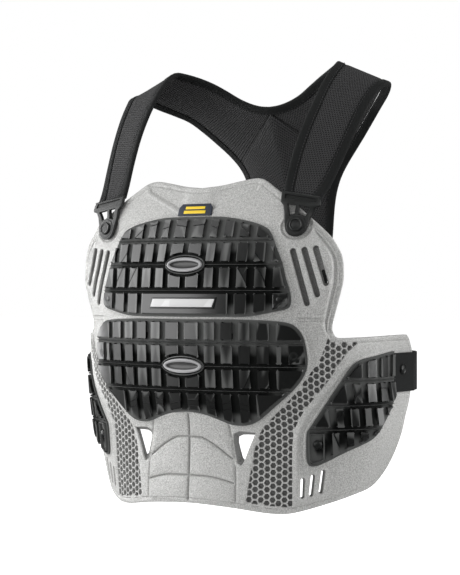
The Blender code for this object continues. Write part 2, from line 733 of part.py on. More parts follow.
def make_tabs(material):
    """Cloth folded over the rear edge of each wing."""
    bm = bmesh.new()
    levels = [TAB_BOTTOM] + spaced(TAB_BOTTOM, TAB_TOP, 23.0) + [TAB_TOP]
    rings = []
    for up in levels:
        lean = TAB_LEAN * (TAB_TOP - up) / (TAB_TOP - TAB_BOTTOM)
        rings.append([(across - lean * (across - TAB_FRONT) / (TAB_FOLD - TAB_FRONT), up, out) for across, out in TAB_SECTION])
    loft(bm, rings)
    bmesh.ops.recalc_face_normals(bm, faces=bm.faces[:])
    cut_line(bm, bm.faces[:], (TAB_INNER + 2.0, 0, 0), (1, 0, 0))
    other = mirrored_copy(bm)
    for name, half in (("tab_left", bm), ("tab_right", other)):
        wrap_pattern(half)
        new_object(name, half, material, 40)


def main():
    for old in list(bpy.data.objects):
        bpy.data.objects.remove(old)
    foam = make_material("grey_foam", (0.42, 0.42, 0.42), 0.55)
    plastic = make_material("black_plate_plastic", (0.018, 0.018, 0.020), 0.32)
    badge_grey = make_material("grey_plastic", (0.30, 0.30, 0.31), 0.38)
    white = make_material("white_plastic", (0.80, 0.80, 0.80), 0.40)
    rubber = make_material("dark_rubber", (0.015, 0.018, 0.030), 0.60)
    satin = make_material("black_satin_plastic", (0.022, 0.022, 0.023), 0.42)
    mesh_cloth = make_material("charcoal_mesh", (0.030, 0.030, 0.032), 0.85)
    tape = make_material("black_tape", (0.012, 0.012, 0.013), 0.75)
    elastic = make_material("black_elastic", (0.014, 0.014, 0.015), 0.80)
    tab_cloth = make_material("black_cloth", (0.015, 0.015, 0.016), 0.80)

    make_shell(foam)
    make_plates(plastic)
    make_badges(badge_grey)
    half_length, bar_up, half_height = NAME_BAR
    bar_edge = [(half_length, bar_up - half_height), (half_length, bar_up + half_height),
                (-half_length, bar_up + half_height), (-half_length, bar_up - half_height)]
    low = PLATE_TOP + PIECE_GAP + 0.2
    make_flat_piece("name_bar", bar_edge, low, low + NAME_BAR_THICK, spaced(-half_length, half_length, 15.0), white, 0.4)
    low = PLATE_UNDER
    make_flat_piece("label_patch", PATCH_EDGE, low, low + PATCH_THICK, (-11.0, 0.0, 11.0), rubber, 0.4)
    make_buckles(satin)
    for name, material, hollow in (
        ("upper_rivet", satin, False),
        ("lower_screw", satin, True),
        ("side_rivet", satin, False),
        ("buckle_rivet", satin, False),
        ("tab_snap", satin, False),
    ):
        for side in (1, -1):
            make_fixing(name, side, material, hollow)
    make_harness(mesh_cloth)
    make_bindings(tape)
    make_belt(elastic)
    make_tabs(tab_cloth)


main()
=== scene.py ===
import json
import math

import bmesh
import bpy
import numpy as np
from mathutils import Matrix, Vector

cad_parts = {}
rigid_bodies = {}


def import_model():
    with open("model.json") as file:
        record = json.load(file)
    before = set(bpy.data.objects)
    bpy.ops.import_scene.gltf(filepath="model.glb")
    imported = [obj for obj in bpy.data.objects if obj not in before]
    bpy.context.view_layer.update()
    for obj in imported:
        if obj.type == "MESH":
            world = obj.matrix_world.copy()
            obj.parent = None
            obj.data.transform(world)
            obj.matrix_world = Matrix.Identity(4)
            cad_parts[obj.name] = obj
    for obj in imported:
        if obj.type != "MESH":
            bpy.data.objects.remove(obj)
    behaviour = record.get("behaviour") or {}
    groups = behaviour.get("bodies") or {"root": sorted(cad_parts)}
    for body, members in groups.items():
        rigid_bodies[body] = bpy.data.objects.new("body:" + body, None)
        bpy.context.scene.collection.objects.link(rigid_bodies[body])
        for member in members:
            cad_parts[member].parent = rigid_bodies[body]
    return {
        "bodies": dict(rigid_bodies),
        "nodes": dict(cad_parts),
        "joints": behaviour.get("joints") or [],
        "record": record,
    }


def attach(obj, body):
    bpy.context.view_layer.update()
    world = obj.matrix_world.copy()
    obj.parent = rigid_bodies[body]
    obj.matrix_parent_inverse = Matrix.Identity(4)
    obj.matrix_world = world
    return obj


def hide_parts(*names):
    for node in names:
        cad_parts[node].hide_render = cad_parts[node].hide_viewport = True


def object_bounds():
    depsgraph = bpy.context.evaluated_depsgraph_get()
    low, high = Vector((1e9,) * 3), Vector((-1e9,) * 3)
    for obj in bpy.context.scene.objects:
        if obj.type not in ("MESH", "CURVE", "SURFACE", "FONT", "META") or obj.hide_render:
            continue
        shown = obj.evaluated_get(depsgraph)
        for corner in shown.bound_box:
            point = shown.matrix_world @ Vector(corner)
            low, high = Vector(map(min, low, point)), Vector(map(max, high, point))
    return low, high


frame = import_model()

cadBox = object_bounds()
mm = 0.001



def placeObject(name, data):
    made = bpy.data.objects.new(name, data)
    bpy.context.scene.collection.objects.link(made)
    return made


# the camera stands level with the middle of the shell
cameraPlan = {"place": (1.0296, -1.8453, -0.250), "turn": 30.0, "lens": 106.6, "sensor": 36.0,
              "shift": -0.0049}
cameraData = bpy.data.cameras.new("studioCamera")
cameraData.lens = cameraPlan["lens"]
cameraData.sensor_width = cameraPlan["sensor"]
cameraData.shift_y = cameraPlan["shift"]
camera = placeObject("studioCamera", cameraData)
camera.location = cameraPlan["place"]
camera.rotation_euler = (math.radians(90), 0, math.radians(cameraPlan["turn"]))
bpy.context.scene.camera = camera

# The soft shapes are drawn on a flat pattern in millimetres (across, up, out) and wrapped round the torso,
# which turns by run / radius at each height and more quickly toward the side.
# Each level is (height, set back at the middle, radius, tightening).
torso = {
    "levels": ((125, 41, 800, 1.0), (70, 17, 560, 1.0), (10, 0, 330, -1.0), (-60, -4, 345, 4.3),
               (-110, -1, 350, 5.0), (-180, 9, 310, 3.6), (-270, 3, 215, 3.4)),
    "sideAngle": math.radians(84), "steps": 48, "back": 165.0, "up": 250.0,
}


def levelValues(height):
    # set back, bend and tightening at a height, on smooth curves that don't overshoot between the levels
    table = np.array(torso["levels"][::-1], float)
    table[:, 2] = 1.0 / table[:, 2]
    knots = table[:, 0]
    gaps = np.diff(knots)
    place = np.clip(height, knots[0] - 15.0, knots[-1] + 20.0)
    index = np.clip(np.searchsorted(knots, place) - 1, 0, len(gaps) - 1)
    t = (place - knots[index]) / gaps[index]
    values = []
    for column in (1, 2, 3):
        value = table[:, column]
        rise = np.diff(value) / gaps
        slope = np.concatenate([rise[:1], np.zeros(len(knots) - 2), rise[-1:]])
        for k in range(1, len(knots) - 1):
            before, after = rise[k - 1], rise[k]
            if before * after > 0.0:
                near, far = 2.0 * gaps[k] + gaps[k - 1], gaps[k] + 2.0 * gaps[k - 1]
                slope[k] = (near + far) / (near / before + far / after)
        start, end = value[index], value[index + 1]
        values.append(start * (2 * t**3 - 3 * t**2 + 1) + slope[index] * gaps[index] * (t**3 - 2 * t**2 + t)
                      + end * (3 * t**2 - 2 * t**3) + slope[index + 1] * gaps[index] * (t**3 - t**2))
    return values


def wrapTorso(points):
    # pattern places in millimetres to places in space in metres
    points = np.asarray(points, float).reshape(-1, 3)
    placed = []
    for chunk in np.array_split(points, len(points) // 20000 + 1):
        across, up, out = chunk.T
        setBack, bend, tighten = levelValues(up)
        length = np.abs(across)
        run = length[:, None] * ((np.arange(torso["steps"]) + 0.5) / torso["steps"])[None, :]
        angle = np.minimum(bend[:, None] * run + tighten[:, None] * 1e-8 * run**3, torso["sideAngle"])
        last = np.minimum(bend * length + tighten * 1e-8 * length**3, torso["sideAngle"])
        x = np.sign(across) * (length * np.cos(angle).mean(axis=1) + out * np.sin(last))
        y = setBack + length * np.sin(angle).mean(axis=1) - out * np.cos(last)
        placed.append(np.stack([x, y - torso["back"], up - torso["up"]], axis=1))
    return np.concatenate(placed) * mm


def surfaceMatrix(across, up, out):
    # stands a turned piece upright on the wrapped surface
    points = wrapTorso([(across - 1, up, out), (across + 1, up, out), (across, up - 1, out), (across, up + 1, out),
                        (across, up, out)])
    along = Vector(points[1] - points[0]).normalized()
    outward = along.cross(Vector(points[3] - points[2])).normalized()
    upward = outward.cross(along).normalized()
    return Matrix.Translation(Vector(points[4])) @ Matrix((along, upward, outward)).transposed().to_4x4()


def smoothLine(points, steps, closed=False):
    # a rounded line through the points
    points = [np.array(point, float) for point in points]
    count = len(points)
    spans = count if closed else count - 1
    made = []
    for k in range(spans):
        if closed:
            a, b, c, d = (points[(k + j - 1) % count] for j in range(4))
        else:
            b, c = points[k], points[k + 1]
            a = points[k - 1] if k else 2 * b - c
            d = points[k + 2] if k + 2 < count else 2 * c - b
        for j in range(steps):
            t = j / steps
            made.append(0.5 * (2 * b + (c - a) * t + (2 * a - 5 * b + 4 * c - d) * t**2
                               + (3 * b - a - 3 * c + d) * t**3))
    if not closed:
        made.append(points[-1])
    return np.array(made)


def bothSides(half):
    # the whole outline from its half, which starts and ends on the middle line
    left = [(-across, up) for across, up in reversed(half[1:-1])]
    return list(half) + left


def flatFace(bm, outline, out=0.0):
    face = bm.faces.new([bm.verts.new((point[0], point[1], out)) for point in outline])
    face.normal_update()
    if face.normal.z < 0:
        face.normal_flip()
    return face


def everything(bm):
    return bm.verts[:] + bm.edges[:] + bm.faces[:]


def onlyVerts(items):
    return [item for item in items if isinstance(item, bmesh.types.BMVert)]


def faceOut(bm):
    bmesh.ops.recalc_face_normals(bm, faces=bm.faces[:])


def splitLarge(bm):
    # no face keeps more than four corners, so that every face can bend
    bmesh.ops.triangulate(bm, faces=[face for face in bm.faces if len(face.verts) > 4])


def cutLine(bm, faces, point, normal):
    edges = {edge for face in faces for edge in face.edges}
    verts = {vert for face in faces for vert in face.verts}
    bmesh.ops.bisect_plane(bm, geom=list(verts) + list(edges) + list(faces), dist=0.005, plane_co=point,
                           plane_no=normal)


def spaced(low, high, step):
    count = max(1, round((high - low) / step))
    return [low + (high - low) * k / count for k in range(1, count)]


def thicken(bm, low, high):
    for vert in bm.verts:
        vert.co.z = low
    made = bmesh.ops.extrude_face_region(bm, geom=bm.faces[:])["geom"]
    bmesh.ops.translate(bm, verts=onlyVerts(made), vec=(0, 0, high - low))
    faceOut(bm)


def bevelEdges(bm, edges, offset, segments=3):
    bmesh.ops.bevel(bm, geom=edges, offset=offset, segments=segments, profile=0.5, affect="EDGES", material=-1)


def rimEdges(bm, out):
    # sharp edges that lie at one depth of the pattern
    return [edge for edge in bm.edges if edge.is_manifold and edge.calc_face_angle(0.0) > 0.9
            and all(abs(vert.co.z - out) < 0.01 for vert in edge.verts)]


def grownOutline(outline, amount):
    # the outline moved outward, corner by corner
    points = [Vector(point[:2]) for point in outline]
    area = sum(a.x * b.y - b.x * a.y for a, b in zip(points, points[1:] + points[:1]))
    turn = 1 if area > 0 else -1
    made = []
    for k, point in enumerate(points):
        before = (point - points[k - 1]).normalized()
        after = (points[(k + 1) % len(points)] - point).normalized()
        normal = Vector((before.y + after.y, -before.x - after.x)) * turn
        if normal.length < 1e-6:
            made.append(point)
            continue
        normal.normalize()
        made.append(point + normal * amount / max(0.5, normal.dot(Vector((after.y, -after.x)) * turn)))
    return made


def ringOf(bm, points, out):
    # a closed loop of edges through flat points at one depth
    verts = [bm.verts.new((point[0], point[1], out)) for point in points]
    return [bm.edges.new(pair) for pair in zip(verts, verts[1:] + verts[:1])]


def bridgeRings(bm, rings, closed=False):
    # walls between neighbouring rings, then a cap on each end, or a last wall that closes the round
    for low, high in zip(rings, rings[1:] + (rings[:1] if closed else [])):
        bmesh.ops.bridge_loops(bm, edges=low + high)
    for ring in () if closed else (rings[0], rings[-1]):
        bmesh.ops.contextual_create(bm, geom=ring)


def addPrism(bm, outline, levels):
    # a closed body through grown copies of an outline: levels are (out, grow) from low to high
    bridgeRings(bm, [ringOf(bm, grownOutline(outline, grow), out) for out, grow in levels])


def bridgeOutlines(bm, levels):
    # a closed body through outlines with the same number of points, (outline, out) from low to high
    made = bmesh.new()
    bridgeRings(made, [ringOf(made, outline, out) for outline, out in levels])
    joinInto(bm, made)


def carve(bm, cutter):
    # takes the cutter away from the body and frees both
    faceOut(cutter)
    helpers = []
    for name, source in (("carveTarget", bm), ("carveCutter", cutter)):
        mesh = bpy.data.meshes.new(name)
        source.to_mesh(mesh)
        source.free()
        helpers.append(placeObject(name, mesh))
    modifier = helpers[0].modifiers.new("cut", "BOOLEAN")
    modifier.operation = "DIFFERENCE"
    modifier.solver = "EXACT"
    modifier.object = helpers[1]
    graph = bpy.context.evaluated_depsgraph_get()
    result = bmesh.new()
    result.from_mesh(helpers[0].evaluated_get(graph).data)
    for helper in helpers:
        mesh = helper.data
        bpy.data.objects.remove(helper)
        bpy.data.meshes.remove(mesh)
    bmesh.ops.dissolve_degenerate(result, dist=0.002, edges=result.edges[:])
    return result


def wrapMesh(bm, lift=None):
    # keeps the pattern place of every corner as its UV, then moves the flat solid round the torso
    layer = bm.loops.layers.uv.get("pattern") or bm.loops.layers.uv.new("pattern")
    for face in bm.faces:
        for loop in face.loops:
            loop[layer].uv = (loop.vert.co.x * mm, loop.vert.co.y * mm)
    points = np.array([vert.co for vert in bm.verts])
    if lift is not None:
        points[:, 2] += lift(points)
    for vert, place in zip(bm.verts, wrapTorso(points)):
        vert.co = place


def finishPiece(name, bm, slotName, nodes, materials, smooth):
    # makes the object, rides it on the body and puts it in place of its solids
    if bm.calc_volume(signed=True) < 0:
        bmesh.ops.reverse_faces(bm, faces=bm.faces[:])
    mesh = bpy.data.meshes.new(name)
    bm.to_mesh(mesh)
    bm.free()
    mesh.shade_smooth()
    mesh.set_sharp_from_angle(angle=math.radians(smooth))
    for material in materials:
        mesh.materials.append(material)
    piece = placeObject(name, mesh)
    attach(piece, "root")
    if nodes:
        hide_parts(*nodes)
    print(name, sum(len(face.vertices) - 2 for face in mesh.polygons), "triangles")
    return piece


def mirrorMesh(bm, seamGap, join):
    # adds the other half and joins the two along the middle line
    made = bmesh.ops.duplicate(bm, geom=everything(bm))["geom"]
    bmesh.ops.scale(bm, vec=(-1, 1, 1), verts=onlyVerts(made))
    bmesh.ops.reverse_faces(bm, faces=[item for item in made if isinstance(item, bmesh.types.BMFace)])
    bmesh.ops.remove_doubles(bm, verts=[vert for vert in bm.verts if abs(vert.co.x) < seamGap], dist=join)


def joinInto(bm, other):
    mesh = bpy.data.meshes.new("joined")
    other.to_mesh(mesh)
    other.free()
    bm.from_mesh(mesh)
    bpy.data.meshes.remove(mesh)


def mirroredCopy(bm):
    other = bm.copy()
    bmesh.ops.scale(other, vec=(-1, 1, 1), verts=other.verts[:])
    bmesh.ops.reverse_faces(other, faces=other.faces[:])
    return other


def softStep(value, low, high):
    t = np.clip((value - low) / (high - low), 0.0, 1.0)
    return t * t * (3 - 2 * t)


def ridge(distance, width):
    # 1 on the line and falling off over the width
    return np.exp(-(distance / width) ** 2)


def lineField(x, y, line):
    # distance to a line of straight parts, the side a point lies on and how far along it is
    best, side, along = np.full(x.shape, 1e9), np.ones(x.shape), np.zeros(x.shape)
    run = 0.0
    for (x1, y1), (x2, y2) in zip(line[:-1], line[1:]):
        dx, dy = x2 - x1, y2 - y1
        length = math.hypot(dx, dy)
        t = np.clip(((x - x1) * dx + (y - y1) * dy) / length**2, 0.0, 1.0)
        distance = np.hypot(x - x1 - t * dx, y - y1 - t * dy)
        nearer = distance < best
        best = np.where(nearer, distance, best)
        side = np.where(nearer, np.where(dx * (y - y1) - dy * (x - x1) < 0, -1.0, 1.0), side)
        along = np.where(nearer, run + t * length, along)
        run += length
    return best, side, along / run


def insideShape(x, y, shape):
    inside = np.zeros(x.shape, bool)
    for (x1, y1), (x2, y2) in zip(shape, np.roll(shape, -1, axis=0)):
        crosses = (y1 > y) != (y2 > y)
        inside ^= crosses & (x < (x2 - x1) * (y - y1) / (y2 - y1 + 1e-12) + x1)
    return inside


def shapeDepth(x, y, shape):
    # how far inside a closed shape, negative outside it
    distance, side, along = lineField(x, y, np.vstack([shape, shape[:1]]))
    return np.where(insideShape(x, y, shape), distance, -distance)


# short helpers for shader nodes, then the effects that several materials share
def newGroup(name, inputs, outputs):
    group = bpy.data.node_groups.new(name, "ShaderNodeTree")
    for label, kind, value in inputs:
        made = group.interface.new_socket(name=label, in_out="INPUT", socket_type="NodeSocket" + kind)
        made.default_value = value
    for label, kind in outputs:
        group.interface.new_socket(name=label, in_out="OUTPUT", socket_type="NodeSocket" + kind)
    return group, group.nodes.new("NodeGroupInput"), group.nodes.new("NodeGroupOutput")


def feed(tree, sockets, values):
    # links another node's socket, or sets a plain value
    for key, value in values.items():
        if isinstance(value, bpy.types.NodeSocket):
            tree.links.new(value, sockets[key])
        else:
            sockets[key].default_value = value


def addNode(tree, kind, values=None, **settings):
    node = tree.nodes.new("ShaderNode" + kind)
    for key, value in settings.items():
        setattr(node, key, value)
    feed(tree, node.inputs, values or {})
    return node


def calc(tree, operation, first, second=0.0, third=0.0):
    return addNode(tree, "Math", {0: first, 1: second, 2: third}, operation=operation).outputs[0]


def remap(tree, value, low, high, outLow=0.0, outHigh=1.0):
    return addNode(tree, "MapRange", {0: value, 1: low, 2: high, 3: outLow, 4: outHigh},
                   interpolation_type="SMOOTHSTEP").outputs[0]


def blend(tree, factor, first, second):
    return addNode(tree, "Mix", {"Factor": factor, 6: first, 7: second}, data_type="RGBA").outputs[2]


def grey(value):
    return (value, value, value, 1.0)


def makeGrainGroup():
    # moulded grain: fine pebbles and a slow unevenness
    group, enter, leave = newGroup("mouldedGrain", (("Size", "Float", 1.0),),
                                   (("Height", "Float"), ("Speck", "Float"), ("Cloud", "Float")))
    place = addNode(group, "TexCoord").outputs["Object"]
    fine = calc(group, "DIVIDE", 1400.0, enter.outputs["Size"])
    pebble = addNode(group, "TexVoronoi", {"Vector": place, "Scale": fine}, feature="F1").outputs["Distance"]
    speck = addNode(group, "TexNoise", {"Vector": place, "Scale": calc(group, "DIVIDE", 900.0, enter.outputs["Size"]),
                                        "Detail": 2.0, "Roughness": 0.6}).outputs["Fac"]
    cloud = addNode(group, "TexNoise", {"Vector": place, "Scale": 9.0, "Detail": 3.0}).outputs["Fac"]
    height = calc(group, "MULTIPLY_ADD", speck, 0.7, calc(group, "MULTIPLY", pebble, 0.4))
    feed(group, leave.inputs, {"Height": height, "Speck": remap(group, speck, 0.34, 0.66),
                               "Cloud": remap(group, cloud, 0.3, 0.7)})
    return group


def makeEdgeGroup():
    # masks where the surface turns sharply: edges, used for lighter edges and the plates' painted highlight, and
    # hollows, used for the foam's painted shade
    group, enter, leave = newGroup("edgeAndHollowMask", (("Amount", "Float", 1.0),), (("Edge", "Float"), ("Hollow", "Float")))
    point = addNode(group, "NewGeometry").outputs["Pointiness"]
    for label, low, high in (("Edge", 0.505, 0.56), ("Hollow", 0.495, 0.44)):
        feed(group, leave.inputs, {label: calc(group, "MULTIPLY", remap(group, point, low, high),
                                               enter.outputs["Amount"])})
    return group


def makeWeaveGroup():
    # rows of small open cells, each row shifted by half a cell: Size is the pitch in metres
    group, enter, leave = newGroup("cellMesh", (("Place", "Vector", (0, 0, 0)), ("Size", "Float", 0.002)),
                                   (("Height", "Float"), ("Hole", "Float"), ("Yarn", "Float")))
    scaled = addNode(group, "VectorMath", {0: enter.outputs["Place"],
                                           3: calc(group, "DIVIDE", 1.0, enter.outputs["Size"])}, operation="SCALE")
    split = addNode(group, "SeparateXYZ", {0: scaled.outputs[0]})
    row = calc(group, "FLOOR", split.outputs[1])
    shift = calc(group, "MULTIPLY", calc(group, "MODULO", row, 2.0), 0.5)
    u = calc(group, "SUBTRACT", calc(group, "FRACT", calc(group, "ADD", split.outputs[0], shift)), 0.5)
    v = calc(group, "SUBTRACT", calc(group, "FRACT", split.outputs[1]), 0.5)
    reach = calc(group, "SQRT", calc(group, "ADD", calc(group, "MULTIPLY", u, u),
                                     calc(group, "MULTIPLY", calc(group, "MULTIPLY", v, v), 1.25)))
    hole = remap(group, reach, 0.36, 0.22)
    height = remap(group, reach, 0.20, 0.44)
    yarn = addNode(group, "TexNoise", {"Vector": enter.outputs["Place"], "Scale": 2600.0, "Detail": 1.0})
    feed(group, leave.inputs, {"Height": height, "Hole": hole, "Yarn": yarn.outputs["Fac"]})
    return group


def makeThreadGroup():
    # plain woven threads with fuzz: Size is the thread pitch in metres, Ribs how strongly the length runs show
    group, enter, leave = newGroup("wovenThread", (("Place", "Vector", (0, 0, 0)), ("Size", "Float", 0.0008),
                                                   ("Ribs", "Float", 0.5)),
                                   (("Height", "Float"), ("Fleck", "Float")))
    turns = calc(group, "DIVIDE", math.pi, enter.outputs["Size"])
    split = addNode(group, "SeparateXYZ", {0: enter.outputs["Place"]})
    warp, weft = (calc(group, "ABSOLUTE", calc(group, "SINE", calc(group, "MULTIPLY", split.outputs[k], turns)))
                  for k in (0, 1))
    fuzz = addNode(group, "TexNoise", {"Vector": addNode(group, "TexCoord").outputs["Object"], "Scale": 1800.0,
                                       "Detail": 3.0}).outputs["Fac"]
    height = calc(group, "ADD", calc(group, "MULTIPLY", warp, enter.outputs["Ribs"]),
                  calc(group, "MULTIPLY", weft, calc(group, "SUBTRACT", 1.0, enter.outputs["Ribs"])))
    feed(group, leave.inputs, {"Height": calc(group, "MULTIPLY_ADD", fuzz, 0.5, height),
                               "Fleck": remap(group, fuzz, 0.35, 0.65)})
    return group


def useGroup(tree, group, values):
    return addNode(tree, "Group", values, node_tree=group).outputs


def startMaterial(name, slotColour, settings):
    material = bpy.data.materials.new(name)
    material.use_nodes = True
    shader = material.node_tree.nodes["Principled BSDF"]
    feed(material.node_tree, shader.inputs, settings)
    material.diffuse_color = (*slotColour, 1.0)
    return material, material.node_tree, shader


def bumpInto(tree, shader, height, strength, distance):
    bump = addNode(tree, "Bump", {"Height": height, "Strength": strength, "Distance": distance})
    tree.links.new(bump.outputs[0], shader.inputs["Normal"])


grainGroup, edgeGroup = makeGrainGroup(), makeEdgeGroup()
weaveGroup, threadGroup = makeWeaveGroup(), makeThreadGroup()


def makeFoamMaterial(name, dark, light, bright):
    material, tree, shader = startMaterial(name, light[:3], {"Specular IOR Level": 0.55, "IOR": 1.48})
    grain = useGroup(tree, grainGroup, {"Size": 1.0})
    edge = useGroup(tree, edgeGroup, {"Amount": 0.6})
    colour = blend(tree, grain["Speck"], dark, light)
    colour = blend(tree, calc(tree, "MULTIPLY", grain["Cloud"], 0.25), colour, light)
    # painted shade: hollows and creases are blended toward a darker grey; sharp edges are blended lighter
    shaded = tuple(value * 0.5 for value in dark[:3]) + (1,)
    colour = blend(tree, calc(tree, "MULTIPLY", edge["Hollow"], 0.7), colour, shaded)
    colour = blend(tree, calc(tree, "MULTIPLY", edge["Edge"], 0.45), colour, bright)
    tree.links.new(colour, shader.inputs["Base Color"])
    tree.links.new(remap(tree, grain["Speck"], 0.0, 1.0, 0.58, 0.36), shader.inputs["Roughness"])
    bumpInto(tree, shader, grain["Height"], 0.4, 0.0006)
    return material


def makePlateMaterial(name, gloss, coat, rough):
    material, tree, shader = startMaterial(name, (0.018, 0.018, 0.020),
                                           {"Specular IOR Level": gloss, "IOR": 1.5, "Coat Weight": coat,
                                            "Coat Roughness": 0.18})
    grain = useGroup(tree, grainGroup, {"Size": 0.7})
    edge = useGroup(tree, edgeGroup, {"Amount": 1.0})
    colour = blend(tree, grain["Cloud"], (0.0055, 0.0062, 0.0058, 1), (0.0085, 0.0092, 0.0088, 1))
    # painted highlight: sharp tile edges are blended toward a lighter grey in place of the thin reflections along them
    colour = blend(tree, edge["Edge"], colour, (0.085, 0.087, 0.085, 1))
    tree.links.new(colour, shader.inputs["Base Color"])
    tree.links.new(remap(tree, grain["Cloud"], 0.0, 1.0, rough, rough + 0.07), shader.inputs["Roughness"])
    bumpInto(tree, shader, grain["Height"], 0.06, 0.0003)
    return material


def makeSatinMaterial(name, dark, light, rough, speckle=0.08):
    material, tree, shader = startMaterial(name, light[:3], {"Specular IOR Level": 0.5, "IOR": 1.49})
    grain = useGroup(tree, grainGroup, {"Size": 0.8})
    edge = useGroup(tree, edgeGroup, {"Amount": 0.6})
    colour = blend(tree, grain["Cloud"], dark, light)
    # sharp edges are blended toward a lighter tone
    lighterEdge = tuple(min(1, value * 2.2) for value in light[:3]) + (1,)
    colour = blend(tree, calc(tree, "MULTIPLY", edge["Edge"], 0.5), colour, lighterEdge)
    tree.links.new(colour, shader.inputs["Base Color"])
    tree.links.new(remap(tree, grain["Speck"], 0.0, 1.0, rough - 0.05, rough + 0.06), shader.inputs["Roughness"])
    bumpInto(tree, shader, grain["Height"], speckle, 0.0003)
    return material


def makeMeshMaterial():
    material, tree, shader = startMaterial("charcoalMesh", (0.030, 0.030, 0.032),
                                           {"Roughness": 0.85, "Specular IOR Level": 0.2, "Sheen Weight": 0.05,
                                            "Sheen Roughness": 0.5})
    place = addNode(tree, "UVMap", uv_map="pattern").outputs[0]
    cells = useGroup(tree, weaveGroup, {"Place": place, "Size": 0.0030})
    colour = blend(tree, cells["Yarn"], (0.030, 0.030, 0.031, 1), (0.052, 0.052, 0.053, 1))
    colour = blend(tree, cells["Hole"], colour, (0.004, 0.004, 0.004, 1))
    tree.links.new(colour, shader.inputs["Base Color"])
    bumpInto(tree, shader, cells["Height"], 0.9, 0.0008)
    return material


def makeTapeMaterial(name, size, ribs, dark, light, strength=0.5):
    material, tree, shader = startMaterial(name, light[:3],
                                           {"Roughness": 0.8, "Specular IOR Level": 0.25, "Sheen Weight": 0.05,
                                            "Sheen Roughness": 0.4})
    place = addNode(tree, "UVMap", uv_map="pattern").outputs[0]
    threads = useGroup(tree, threadGroup, {"Place": place, "Size": size, "Ribs": ribs})
    tree.links.new(blend(tree, threads["Fleck"], dark, light), shader.inputs["Base Color"])
    bumpInto(tree, shader, threads["Height"], strength, 0.0004)
    return material


foamMaterial = makeFoamMaterial("greyFoam", (0.26, 0.26, 0.252, 1), (0.55, 0.55, 0.538, 1), (0.68, 0.68, 0.67, 1))
# a darker copy of the foam: painted shade for the walls and floors of the holes
pitShadeMaterial = makeFoamMaterial("foamPitShade", (0.11, 0.11, 0.107, 1), (0.24, 0.24, 0.234, 1), (0.32, 0.32, 0.315, 1))
plateMaterial = makePlateMaterial("blackPlate", 0.62, 0.12, 0.30)
# a matte copy of the plate: painted shade for the grooves between tiles
grooveShadeMaterial = makePlateMaterial("plateGrooveShade", 0.08, 0.0, 0.60)
ringMaterial = makeSatinMaterial("greyRing", (0.24, 0.24, 0.245, 1), (0.33, 0.33, 0.335, 1), 0.36)
# a darker copy of the ring's grey: painted shade for the dish inside the ring
dishShadeMaterial = makeSatinMaterial("ringDishShade", (0.045, 0.045, 0.045, 1), (0.08, 0.08, 0.08, 1), 0.4)
whiteMaterial = makeSatinMaterial("whiteBar", (0.50, 0.50, 0.50, 1), (0.58, 0.58, 0.58, 1), 0.42)
yellowMaterial = makeSatinMaterial("yellowBars", (0.72, 0.45, 0.01, 1), (0.85, 0.56, 0.02, 1), 0.45)
rubberMaterial = makeSatinMaterial("labelRubber", (0.010, 0.014, 0.026, 1), (0.018, 0.024, 0.040, 1), 0.6, 0.5)
satinMaterial = makeSatinMaterial("blackSatin", (0.0075, 0.0085, 0.0080, 1), (0.0125, 0.0135, 0.0130, 1), 0.38)
meshMaterial = makeMeshMaterial()
tapeMaterial = makeTapeMaterial("blackTape", 0.0010, 0.35, (0.0055, 0.006, 0.006, 1), (0.011, 0.012, 0.012, 1))
elasticMaterial = makeTapeMaterial("blackElastic", 0.0026, 0.15, (0.010, 0.010, 0.011, 1),
                                   (0.022, 0.022, 0.023, 1), 0.9)
clothMaterial = makeTapeMaterial("blackCloth", 0.0009, 0.5, (0.0055, 0.006, 0.006, 1), (0.011, 0.012, 0.012, 1))
threadMaterial = makeSatinMaterial("stitchThread", (0.016, 0.016, 0.017, 1), (0.028, 0.028, 0.029, 1), 0.7)
print("materials made")

